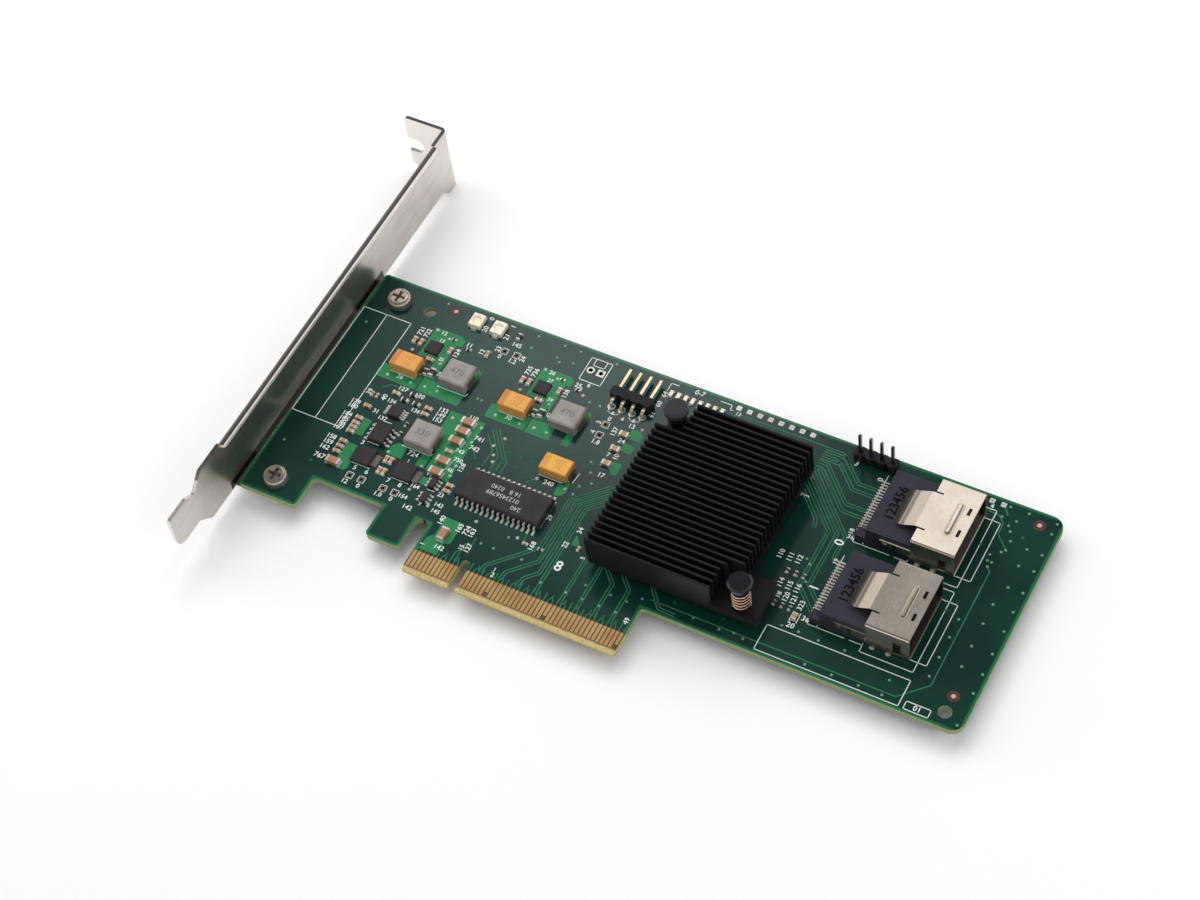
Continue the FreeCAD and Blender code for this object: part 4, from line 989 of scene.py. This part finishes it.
def makeCopper():
    facts = copper
    cutPlates("copper_pours", facts["pours"] + cells(facts["cellPours"]), *facts["pourSpan"])
    level = facts["traceLevel"]
    pairTree.grow(linesBase(facts["pairs"], level), "pair_traces", "board", "trace", **pairShape)
    ribbonTree.grow(linesBase(facts["traces"], level), "signal_traces", "board", "trace",
                    **traceShape)
    stubs = []
    y0, y1, y2, y3 = facts["stubBends"]
    firsts = [first + i for first, count in facts["stubRows"] for i in range(count)]
    for i, x in enumerate(firsts):
        leant = x + facts["stubLeans"][i % 3]
        stubs.append([(x, y0), (x, y1), (leant, y2), (leant, y3 + facts["stubLonger"] * (i % 2))])
    ribbonTree.grow(linesBase(stubs, facts["stubLevel"]), "contact_stubs", "board", "trace",
                    **stubShape)
    plateTree.grow(spotsBase(facts["coveredVias"], 0.0, facts["viaSide"]), "covered_vias",
                   "board", "via", Corner=0.5, Height=facts["viaHeight"])
    plateTree.grow(spotsBase(facts["dimVias"], 0.0, facts["dimViaSide"]), "dim_vias",
                   "board", "dimVia", Corner=0.5, Height=facts["viaHeight"])
    moundTree.grow(spotsBase(solderVias(), 0.0, facts["solderViaSide"]), "solder_vias",
                   "solder", "tin", Height=facts["solderViaHeight"], Top=0.3)


makeCopper()


print("stage: solder")
solder = {
    # nodes with terminals or leads, and the node of the bodies that they belong to
    "ends": {
        "small_capacitor_terminals": "small_capacitor_bodies",
        "large_capacitor_terminals": "large_capacitor_bodies",
        "resistor_terminals": "resistor_bodies",
        "activity_lamp_terminals": "activity_lamp_bodies",
        "status_lamp_terminals": "status_lamp_bodies",
    },
    "feet": {
        "memory_chip_leads": "memory_chip_body",
        "driver_chip_leads": "driver_chip_body",
        "monitor_chip_leads": "monitor_chip_body",
        "small_transistor_leads": "small_transistor_bodies",
    },
    "portFeet": ["sas_port_0_contacts", "sas_port_1_contacts"],
    "wraps": ["inductor_terminals", "tantalum_terminals", "power_switch_tabs"],
    "padHeight": 0.05,
    "padLevel": -0.005,
    # a pad reaches out from a terminal by this much, and by this share of its shorter side
    "reach": (0.18, 0.12),
    "endMargin": 0.16,           # how much wider than the terminal
    "heapLength": 2.2,           # in reaches
    "heapWidth": 0.96,           # in widths of the terminal
    "heapOut": 0.02,
    "heapLevel": 0.1,
    "heapHeight": 0.26,
    "footLength": 1.2,
    "footMargin": 0.18,
    "footIn": 0.35,              # from the tip of a lead to the middle of its pad
    "portFootIn": 0.3,           # from the board end of a port's contact
    "portFootWidth": 0.42,
    "leglessCount": 4,           # pads on each side of a regulator chip
    "leglessPitch": 0.65,
    "leglessPad": (0.32, 0.7),   # width and length
    "wrapMargin": (0.3, 0.2),    # how much longer and wider than the wrapped terminal
}


def spotAlong(axis, along, across, length, width):
    # a spot that lies along X for axis 0 and along Y for axis 1
    return (along, across, length, width) if axis == 0 else (across, along, width, length)


def leadsOf(nodeName, bodyNode):
    # for each lead: its middle and size, and the way from the nearest body to it
    bodies = [(low + high) / 2 for low, high in looseBoxes(bodyNode)]
    for low, high in looseBoxes(nodeName):
        middle = (low + high) / 2
        body = min(bodies, key=lambda place: (place - middle).length)
        yield middle, high - low, middle - body


def growPads(name, spots, corner, finishName="tin"):
    plateTree.grow(spotsBase(spots, solder["padLevel"]), name, "solder", finishName,
                   Corner=corner, Height=solder["padHeight"], Segments=2)


def makeSolder():
    facts = solder
    pads, heaps, feet, legless, wraps = [], [], [], [], []
    for nodeName, bodyNode in facts["ends"].items():
        for middle, size, away in leadsOf(nodeName, bodyNode):
            axis = 0 if abs(away.x) > abs(away.y) else 1
            sign = math.copysign(1.0, away[axis])
            fixed, share = facts["reach"]
            reach = fixed + share * min(size.x, size.y)
            across, width = middle[1 - axis], size[1 - axis]
            end = middle[axis] + sign * size[axis] / 2
            pads.append(spotAlong(axis, middle[axis] + sign * reach / 2, across,
                                  size[axis] + reach, width + facts["endMargin"]))
            heaps.append(spotAlong(axis, end + sign * facts["heapOut"], across,
                                   facts["heapLength"] * reach, width * facts["heapWidth"]))
    for nodeName, bodyNode in facts["feet"].items():
        for middle, size, away in leadsOf(nodeName, bodyNode):
            axis = 0 if size.x > size.y else 1
            sign = math.copysign(1.0, away[axis])
            tip = middle[axis] + sign * size[axis] / 2
            feet.append(spotAlong(axis, tip - sign * facts["footIn"], middle[1 - axis],
                                  facts["footLength"], size[1 - axis] + facts["footMargin"]))
    for nodeName in facts["portFeet"]:
        for low, high in looseBoxes(nodeName):
            feet.append((low.x + facts["portFootIn"], (low.y + high.y) / 2,
                         facts["footLength"], facts["portFootWidth"]))
    width, length = facts["leglessPad"]
    for index in range(2):
        low, high = boxOf(f"regulator_chip_{index}")
        for i in range(facts["leglessCount"]):
            step = (i - (facts["leglessCount"] - 1) / 2) * facts["leglessPitch"]
            for axis, across in ((1, 0), (0, 1)):
                place = (low[across] + high[across]) / 2 + step
                legless += [spotAlong(axis, end[axis], place, length, width)
                            for end in (low, high)]
    for nodeName in facts["wraps"]:
        for low, high in looseBoxes(nodeName):
            middle, size = (low + high) / 2, high - low
            wraps.append((middle.x, middle.y, size.x + facts["wrapMargin"][0],
                          size.y + facts["wrapMargin"][1]))
    growPads("terminal_pads", pads, 0.16)
    moundTree.grow(spotsBase(heaps, facts["heapLevel"]), "terminal_solder", "solder", "tin",
                   Height=facts["heapHeight"], Top=0.3, Sides=8)
    growPads("lead_pads", feet, 0.16)
    growPads("legless_pads", legless, 0.2)
    growPads("wrap_pads", wraps, 0.1, "dullTin")


makeSolder()


print("stage: open pads")
openPads = {
    "testPoints": [(-34.9, 16.4), (-31.9, 16.4), (-26.4, 16.4), (-23.4, 16.4), (-20.2, 60.2),
                   (-17.1, 60.2), (10.25, 51.4), (10.25, 48.4)],
    "testFrame": 1.6,
    "testLevel": 0.023,
    "testReach": 0.07,           # nearly half the line's width, so that its corners are square
    "rowPads": [(35.1 + 2.55 * i, 67.35) for i in range(8)] + [(94.8, 67.3), (97.4, 67.3)],
    "rowSide": 1.2,
    "rowHole": 0.24,
    "spareRound": (0.14, 63.4),
    "spareSquare": (2.7, 63.4),
    "spareSide": 1.85,
    "spareHole": 1.05,
    "pinShare": 0.95,            # pads round the header pins are a little smaller
    "marks": [(-36.0, 65.7), (106.4, 20.1), (106.2, 65.5)],
    "markRing": 2.7,
    "markRingHeight": 0.025,
    "markDot": 1.05,
    "markDotHeight": 0.06,
    "markDotLevel": 0.02,
    "angleHoles": [(9.1 + 2.54 * i, 56.4) for i in range(4)],
    "postHoles": [(64.8 + 2.54 * i, 66.1) for i in range(4)],
    "level": -0.004,
    "height": 0.05,
}


def makeOpenPads():
    facts = openPads
    half = facts["testFrame"] / 2
    frames = [closed(rectangle(x - half, y - half, x + half, y + half))
              for x, y in facts["testPoints"]]
    ribbonTree.grow(linesBase(frames, facts["testLevel"], facts["testReach"]), "test_frames",
                    "board", "silk", **testFrameShape)
    side, hole, ring = facts["spareSide"], facts["spareHole"], facts["markRing"]
    small = side * facts["pinShare"]
    angleHoles = facts["angleHoles"]
    spare = [(x, y, side, side) for x, y in (facts["spareRound"], angleHoles[0])]
    spare += [(x, y, small, small) for x, y in angleHoles[1:] + facts["postHoles"]]
    rowSide, rowHole = facts["rowSide"], facts["rowHole"]
    # name, spots, their side if they are alike, corner, segments, hole in parts of the side
    for name, spots, spotSide, corner, segments, share in (
            ("row_pads", facts["rowPads"], rowSide, 0.12, 2, rowHole / rowSide),
            ("round_pads", spare, None, 0.5, 5, hole / side),
            ("square_pad", [facts["spareSquare"]], side, 0.06, 2, hole / side)):
        ringTree.grow(spotsBase(spots, facts["level"], spotSide), name, "solder", "tin",
                      Corner=corner, Height=facts["height"], Segments=segments, Hole=share)
    ringTree.grow(spotsBase(facts["marks"], facts["level"], ring), "mark_rings", "board", "red",
                  Corner=0.5, Height=facts["markRingHeight"], Segments=6,
                  Hole=facts["markDot"] / ring)
    moundTree.grow(spotsBase(facts["marks"], facts["markDotLevel"], facts["markDot"]),
                   "mark_dots", "solder", "tin", Height=facts["markDotHeight"], Top=0.42,
                   Sides=14)


makeOpenPads()


print("stage: print on the board")
silk = {
    "lineLevel": 0.023,
    "level": 0.035,
    "lines": [
        # by the bracket
        closed(rectangle(-56.3, 26.7, -43.8, 58.5)),
        [(-50.2, 26.7), (-50.2, 58.5)],
        # long frame under the ports
        closed(rectangle(64.85, 13.4, 97.15, 19.85)),
        # small frame in the corner
        closed(rectangle(98.3, 13.3, 103.7, 15.2)),
        # spare connector
        closed(rectangle(-1.2, 60.2, 4.1, 66.7)),
        [(0.05, 66.5), (0.05, 64.8), (2.8, 64.8), (2.8, 66.5)],
        # row of lamps
        [(18.4, 65.4), (18.4, 67.45), (20.2, 67.45)],
        [(30.6, 67.45), (33.4, 67.45), (33.4, 66.2), (34.0, 66.2)],
        # right-angle header
        [(8.9, 56.2), (8.9, 55.2), (9.5, 54.6), (11.0, 54.6), (11.5, 55.2), (11.5, 56.2)],
        [(14.1, 56.2), (14.1, 55.2), (14.6, 54.6), (16.1, 54.6), (16.6, 55.2), (16.6, 56.2)],
        # chips
        [(-41.4, 45.1), (-35.3, 45.1)], [(-13.4, 45.1), (-7.3, 45.1)],
        [(-29.3, 45.5), (-22.2, 45.5), (-22.0, 46.2)],
        [(-28.3, 28.1), (-21.4, 28.1), (-20.9, 28.7)],
        [(3.2, 33.7), (9.0, 33.7)], [(10.0, 34.6), (10.0, 37.4)], [(10.9, 34.6), (11.2, 37.4)],
        [(-36.3, 19.65), (-31.9, 19.65)], [(-26.2, 19.65), (-21.9, 19.65)],
        [(-35.9, 25.9), (-33.2, 25.9)], [(-35.6, 32.2), (-33.6, 32.2)],
        [(10.1, 21.4), (10.1, 24.0)], [(10.1, 25.9), (10.1, 28.7)],
        [(-17.3, 20.2), (-15.6, 20.2)],
        # upper port
        [(72.2, 64.2), (72.2, 45.75), (80.6, 45.75)], [(81.8, 45.75), (84.7, 45.75)],
        [(74.4, 45.75), (74.4, 46.4)],
        [(84.7, 46.6), (84.7, 44.15), (96.7, 44.15), (96.7, 65.25), (93.0, 65.25)],
        [(94.0, 46.65), (98.6, 46.65), (98.6, 62.65), (93.0, 62.65)],
        # lower port
        [(72.2, 41.8), (72.2, 23.4), (80.6, 23.4)], [(81.8, 23.4), (84.7, 23.4)],
        [(74.4, 23.4), (74.4, 24.1)],
        [(84.7, 24.2), (84.7, 21.8), (96.7, 21.8), (96.7, 42.9), (93.0, 42.9)],
        [(95.0, 24.3), (98.6, 24.3), (98.6, 40.3), (93.0, 40.3)],
        # lamp by the ports
        [(68.5, 22.6), (68.5, 25.0)], [(70.1, 22.6), (70.1, 25.0)],
    ],
    # by height and turn: figures, x, y
    "figures": {
        (1.2, 90): [("0", -27.3, 67.2), ("1", -21.7, 67.2), ("12", -24.8, 57.9),
                    ("23", -21.8, 60.2), ("24", -15.3, 59.9), ("39", -42.6, 38.0),
                    ("40", -38.7, 37.9), ("128", -13.2, 28.2), ("140", -10.3, 14.4),
                    ("165", -5.7, 14.2), ("724", -4.0, 14.3), ("163", -2.6, 14.2),
                    ("127", -1.5, 10.4), ("49", 37.9, 8.4), ("168", 10.8, 16.6),
                    ("22", 17.2, 19.9), ("34", 18.4, 24.4), ("3", 8.6, 51.4), ("4", 8.6, 48.6),
                    ("137", 12.9, 50.5), ("10", 16.4, 44.6), ("60", 18.4, 61.2),
                    ("61", 18.4, 58.0), ("64", 18.4, 64.1), ("2", 56.9, 52.3), ("3", 58.6, 52.3),
                    ("110", 59.9, 36.8), ("111", 62.1, 36.9), ("112", 64.0, 37.0),
                    ("114", 62.9, 30.3), ("115", 64.9, 30.3), ("116", 66.8, 30.3),
                    ("18", 63.8, 27.4), ("120", 65.5, 27.5), ("121", 67.3, 27.5),
                    ("323", 69.3, 26.9)],
        (1.3, 90): [("20", -27.3, 64.0), ("21", -21.7, 64.0), ("120", -31.4, 22.2),
                    ("121", -20.8, 22.0), ("0", 71.1, 62.6)],
        (1.2, 0): [("145", -18.5, 62.8), ("0", -20.6, 58.4), ("1.2", -17.3, 58.4),
                   ("26", -38.4, 44.3), ("30", -10.4, 44.3), ("127", -36.0, 41.6),
                   ("130", -31.6, 41.4), ("133", -24.7, 40.1), ("149", -24.7, 38.7),
                   ("153", -24.7, 37.3), ("741", -13.4, 36.5), ("742", -13.2, 33.8),
                   ("3", -36.8, 25.2), ("5", -34.9, 18.6), ("6", -31.9, 18.6), ("7", -26.4, 18.6),
                   ("8", -23.4, 18.6), ("12", -35.2, 14.6), ("0", -31.8, 14.6),
                   ("1.0", -26.7, 14.6), ("0", -23.4, 14.6), ("142", -19.0, 14.2),
                   ("142", -7.4, 8.0), ("2", 6.6, 6.7), ("12", 0.2, 57.6), ("6", 1.8, 59.4),
                   ("0", 10.3, 53.1), ("13", 15.7, 53.3), ("1.8", 10.3, 46.4), ("24", 15.5, 48.9),
                   ("7", 14.5, 44.4), ("17", 15.6, 39.0), ("240", 6.2, 32.4)],
        (1.1, 0): [("134", -36.7, 37.6), ("136", -30.4, 37.5), ("31", -38.5, 33.8),
                   ("137", -36.2, 32.7), ("110", -17.4, 41.0), ("743", -15.8, 31.9),
                   ("750", -14.9, 29.6), ("746", -15.6, 26.6), ("164", -20.2, 19.7),
                   ("154", -21.3, 16.3), ("9", -16.9, 16.2), ("143", -12.9, 17.5),
                   ("145", -12.8, 15.8), ("23", -13.8, 20.0), ("77", -18.7, 23.9),
                   ("4", 12.9, 54.2), ("36", 71.4, 46.6), ("4", 95.3, 66.0)],
        (1.3, 0): [("724", -24.9, 27.0), ("767", -43.9, 18.2), ("0-7", 25.4, 67.45),
                   ("3", 64.7, 64.3), ("36", 71.5, 24.2), ("01", 101.0, 14.25),
                   ("20", 69.3, 21.6)],
        (1.0, 0): [("1", -24.9, 24.9), ("1", 6.4, 8.0), ("13", 35.6, 65.8)],
        (1.1, 90): [("15", -2.9, 10.0), ("1", -11.1, 7.4), ("29", 10.8, 24.6), ("5", 22.2, 18.4),
                    ("18", 71.0, 48.0), ("19", 71.2, 39.7)],
        (0.9, 0): [("9", 10.2, 54.8), ("8", 15.4, 54.8)],
        (2.2, 90): [("1", 69.9, 32.0), ("0", 69.9, 44.4)],
        (2.6, 0): [("8", 18.4, 14.4)],
    },
    # numbers beside the parts of a regulator cell, from the middle of its inductor
    "cellFigures": {
        (1.2, 90): [("721", -14.75, 8.75), ("722", -13.1, 8.75), ("124", -4.1, 6.3)],
        (1.1, 0): [("12", -9.6, 10.2)],
        (1.0, 0): [("13", -9.0, 8.1), ("25", -6.5, 3.4)],
        (1.2, 0): [("11", -2.6, 9.5)],
        (1.0, 90): [("28", -4.7, -0.4)],
    },
    "cellMore": 14,              # added to them in the second cell
    "columnFigures": [("179", 34.3), ("180", 33.0), ("184", 30.6), ("185", 29.2), ("186", 27.9),
                      ("187", 26.6), ("158", 23.8), ("159", 22.3), ("162", 20.7)],
    "columnX": -44.1,
}


def drawLines(name, lines, level):
    ribbonTree.grow(linesBase(lines, level, silkShape["Width"] / 2), name, "board", "silk",
                    **silkShape)


def makeSilk():
    level = silk["level"]
    drawLines("silk_lines", silk["lines"], silk["lineLevel"])
    column = {(1.2, 0): [(figures, silk["columnX"], y) for figures, y in silk["columnFigures"]]}
    x0, y0 = copper["cellOrigin"]
    entries = placeFigures(silk["figures"], level)
    entries += placeFigures(silk["cellFigures"], level, x0, y0)
    entries += placeFigures(silk["cellFigures"], level, x0 + copper["cellPitch"], y0,
                            silk["cellMore"])
    entries += placeFigures(column, level)
    printFigures("silk_figures", entries, "silk")


makeSilk()


print("stage: marks on the parts")
partMarks = {
    "memoryRows": [("240", 3.9, 22.3), ("0123456789", -0.2, 24.0), ("16 8   0240", -0.2, 25.7)],
    "memorySize": 1.15,
    "coilFigures": ["470", "470", "330"],
    "coilSize": 1.7,
    "caseRows": [("107", 0.75), ("16", -0.85)],  # and how far above the middle of a case
    "caseRight": 0.7,
    "caseSize": 1.25,
    "housingFigures": "123456",
    "housingSize": 2.2,
    "housingPlace": (5.8, 0.3, 5.51),   # from the back, from the middle, and the level
    "rise": 0.005,
    "caseRise": 0.004,
}


def makePartMarks():
    facts = partMarks
    level = boxOf("memory_chip_body")[1].z + facts["rise"]
    rows = placeFigures({(facts["memorySize"], 180): facts["memoryRows"]}, level)
    printFigures("memory_figures", rows, "paleInk", 0.015, 0.0)
    coils = []
    for index, figures in enumerate(facts["coilFigures"]):
        low, high = boxOf(f"inductor_{index}")
        middle = (low + high) / 2
        coils.append((figures, middle.x, middle.y, high.z + facts["rise"], facts["coilSize"], 0))
    printFigures("coil_figures", coils, "coilInk", 0.015, 0.0)
    cases = []
    for index in range(3):
        low, high = boxOf(f"tantalum_capacitor_{index}")
        middle = (low + high) / 2
        cases += [(figures, middle.x + facts["caseRight"], middle.y + up,
                   high.z + facts["caseRise"], facts["caseSize"], 0)
                  for figures, up in facts["caseRows"]]
    printFigures("case_figures", cases, "caseInk", 0.012, 0.0)
    housings = []
    fromBack, aside, level = facts["housingPlace"]
    for index in range(2):
        low, high = boxOf(f"sas_port_{index}_housing")
        housings.append((facts["housingFigures"], low.x + fromBack, (low.y + high.y) / 2 + aside,
                         level, facts["housingSize"], 90))
    printFigures("housing_figures", housings, "darkInk", 0.04, 0.03)


makePartMarks()


print("stage: port ribs")
ribShape = {
    "fromEnd": 3.7,              # from the open end of a port's shell to the middle of its rib
    "straight": 3.5,             # half the straight stretch
    "halfWidth": 0.8,
    "rise": 0.44,
}


def makePortRibs():
    # a pressed rib with round ends on each shell
    facts = ribShape
    for index, finishName in enumerate(("upperShell", "shadedLowerShell")):
        low, high = boxOf(f"sas_port_{index}_cage")
        middle = Vector((high.x - facts["fromEnd"], (low.y + high.y) / 2, shell["topZ"]))
        shape = bmesh.new()
        bmesh.ops.create_uvsphere(shape, u_segments=28, v_segments=14, radius=1.0)
        for vert in shape.verts:
            x, y, z = vert.co
            away = math.copysign(facts["straight"], y) if abs(y) > 1e-6 else 0.0
            place = Vector((x * facts["halfWidth"], y * facts["halfWidth"] + away,
                            z * facts["rise"]))
            vert.co = (middle + place) * mm
        for face in shape.faces:
            face.smooth = True
        placeShape(f"port_rib_{index}", shape, finishName)


makePortRibs()


print("stage: underside")
underside = {
    "face": -1.57,
    "pourSpan": (-0.02, 0.01),   # these levels are measured up from the face
    "pairLevel": -0.004,
    "lineLevel": -0.03,
    "viaLevel": -0.03,
    "viaHeight": 0.04,
    "solderViaSide": 0.75,
    "solderViaLevel": -0.05,
    "solderViaHeight": 0.06,
    "padLevel": -0.04,
    "padHeight": 0.05,
    "pinPad": 1.75,
    "pinHeap": (1.35, 0.85),     # width and height of the solder round a header pin
    "legPad": 1.9,
    "legHeap": (1.5, 0.6),
    "legX": (86.8, 90.4),
    "legInset": 0.15,
    "frontPad": 1.25,
    "pours": [
        [(-39.0, 42.0), (-19.5, 42.0), (-19.5, 58.5), (-30.0, 60.5), (-39.0, 60.5)],
        [(-11.0, 42.0), (8.0, 42.0), (8.0, 53.5), (-2.0, 60.5), (-11.0, 60.5)],
        rectangle(-30.5, 20.5, -14.0, 38.0),
    ],
    # pairs from the edge fingers to the controller: the last one bends lowest, each one before
    # it a step higher, and they end a step apart from one another
    "laneX": (4.0, 8.0, 12.0, 16.0, 22.0, 26.0, 30.0, 34.0),
    "laneStart": 5.9,
    "laneRise": (10.0, 1.5),
    "laneEnd": (31.0, 1.7),
    "laneTail": 1.5,
    # pairs from the ports: x of their starts, first bend and ends; then for each port their y,
    # how far the first one climbs, and how much that changes from one to the next
    "portX": (70.0, 66.5, 52.0),
    "portLanes": [((61.5, 57.5, 53.5, 49.5), -10.0, 1.2), ((27.0, 31.0, 35.0, 39.0), 4.0, -1.0)],
    "viaAside": 0.45,
    "lines": [
        [(30.0, 29.0), (30.0, 27.0), (32.0, 27.0)], [(50.0, 27.0), (52.0, 27.0), (52.0, 29.0)],
        [(52.0, 47.0), (52.0, 49.0), (50.0, 49.0)], [(32.0, 49.0), (30.0, 49.0), (30.0, 47.0)],
        closed(rectangle(74.0, 14.0, 100.0, 19.5)),
    ],
    "figures": {
        (1.3, 0): [("1", 7.2, 59.2), ("4", 18.4, 59.2), ("1", 63.0, 63.4), ("4", 74.2, 63.4)],
        (1.6, 0): [("01", 103.4, 14.0), ("8", 2.0, 9.6)],
        (1.2, 90): [("49", 37.9, 8.4), ("1", -11.1, 8.4)],
        (2.0, 90): [("0", 69.9, 54.6), ("1", 69.9, 32.3)],
    },
}


def underLanes():
    # pairs from the edge fingers and from the ports to the controller
    facts = underside
    lanes = []
    (lowest, later), (nearest, farther) = facts["laneRise"], facts["laneEnd"]
    for i, x in enumerate(facts["laneX"]):
        rise, end = lowest + later * (len(facts["laneX"]) - 1 - i), nearest + farther * i
        top = rise + end - x
        lanes.append([(x, facts["laneStart"]), (x, rise), (end, top),
                      (end, top + facts["laneTail"])])
    start, bend, end = facts["portX"]
    for places, slope, change in facts["portLanes"]:
        for i, y in enumerate(places):
            turn, climb = bend - i, slope + change * i
            lanes.append([(start, y), (turn, y), (turn - abs(climb), y + climb), (end, y + climb)])
    return lanes


def makeUnderside():
    facts = underside
    face = facts["face"]
    low, high = facts["pourSpan"]
    cutPlates("under_pours", facts["pours"], face + low, face + high)
    lanes = underLanes()
    pairTree.grow(linesBase(lanes, face + facts["pairLevel"]), "under_pairs", "board", "trace",
                  **pairShape)
    ends = [spot for lane in lanes for spot in (lane[-1], lane[0]) if spot[1] > facts["laneStart"]]
    aside = facts["viaAside"]
    vias = copper["coveredVias"] + [(x + side, y) for x, y in ends for side in (-aside, aside)]
    plateTree.grow(spotsBase(vias, face + facts["viaLevel"], copper["viaSide"]), "under_vias",
                   "board", "via", Corner=0.5, Height=facts["viaHeight"])
    plateTree.grow(spotsBase(solderVias(), face + facts["solderViaLevel"], facts["solderViaSide"]),
                   "under_solder_vias", "solder", "tin", Corner=0.5,
                   Height=facts["solderViaHeight"])
    pins = openPads["angleHoles"] + openPads["postHoles"]
    inset = facts["legInset"]
    legs = []
    for index in range(2):
        low, high = boxOf(f"sas_port_{index}_cage")
        legs += [(x, y) for x in facts["legX"] for y in (low.y + inset, high.y - inset)]
    pads = [(x, y, facts["pinPad"], facts["pinPad"]) for x, y in pins]
    pads += [(x, y, facts["legPad"], facts["legPad"]) for x, y in legs]
    plateTree.grow(spotsBase(pads, face + facts["padLevel"]), "under_pads", "solder", "tin",
                   Corner=0.5, Height=facts["padHeight"], Segments=4)
    for name, spots, (width, height) in (("pin_solder", pins, facts["pinHeap"]),
                                         ("leg_solder", legs, facts["legHeap"])):
        moundTree.grow(spotsBase(spots, face - height, width), name, "solder", "tin",
                       Height=height, Top=0.5, Foot=0.2, Sides=14)
    plateTree.grow(spotsBase(legs, 0.0, facts["frontPad"]), "leg_pads", "solder", "tin",
                   Corner=0.5, Height=facts["padHeight"], Segments=4)
    drawLines("under_lines", facts["lines"], face + facts["lineLevel"])
    entries = placeFigures(facts["figures"], face + facts["lineLevel"])
    printFigures("under_figures", entries, "silk", over=180)


makeUnderside()


print("stage: finish")
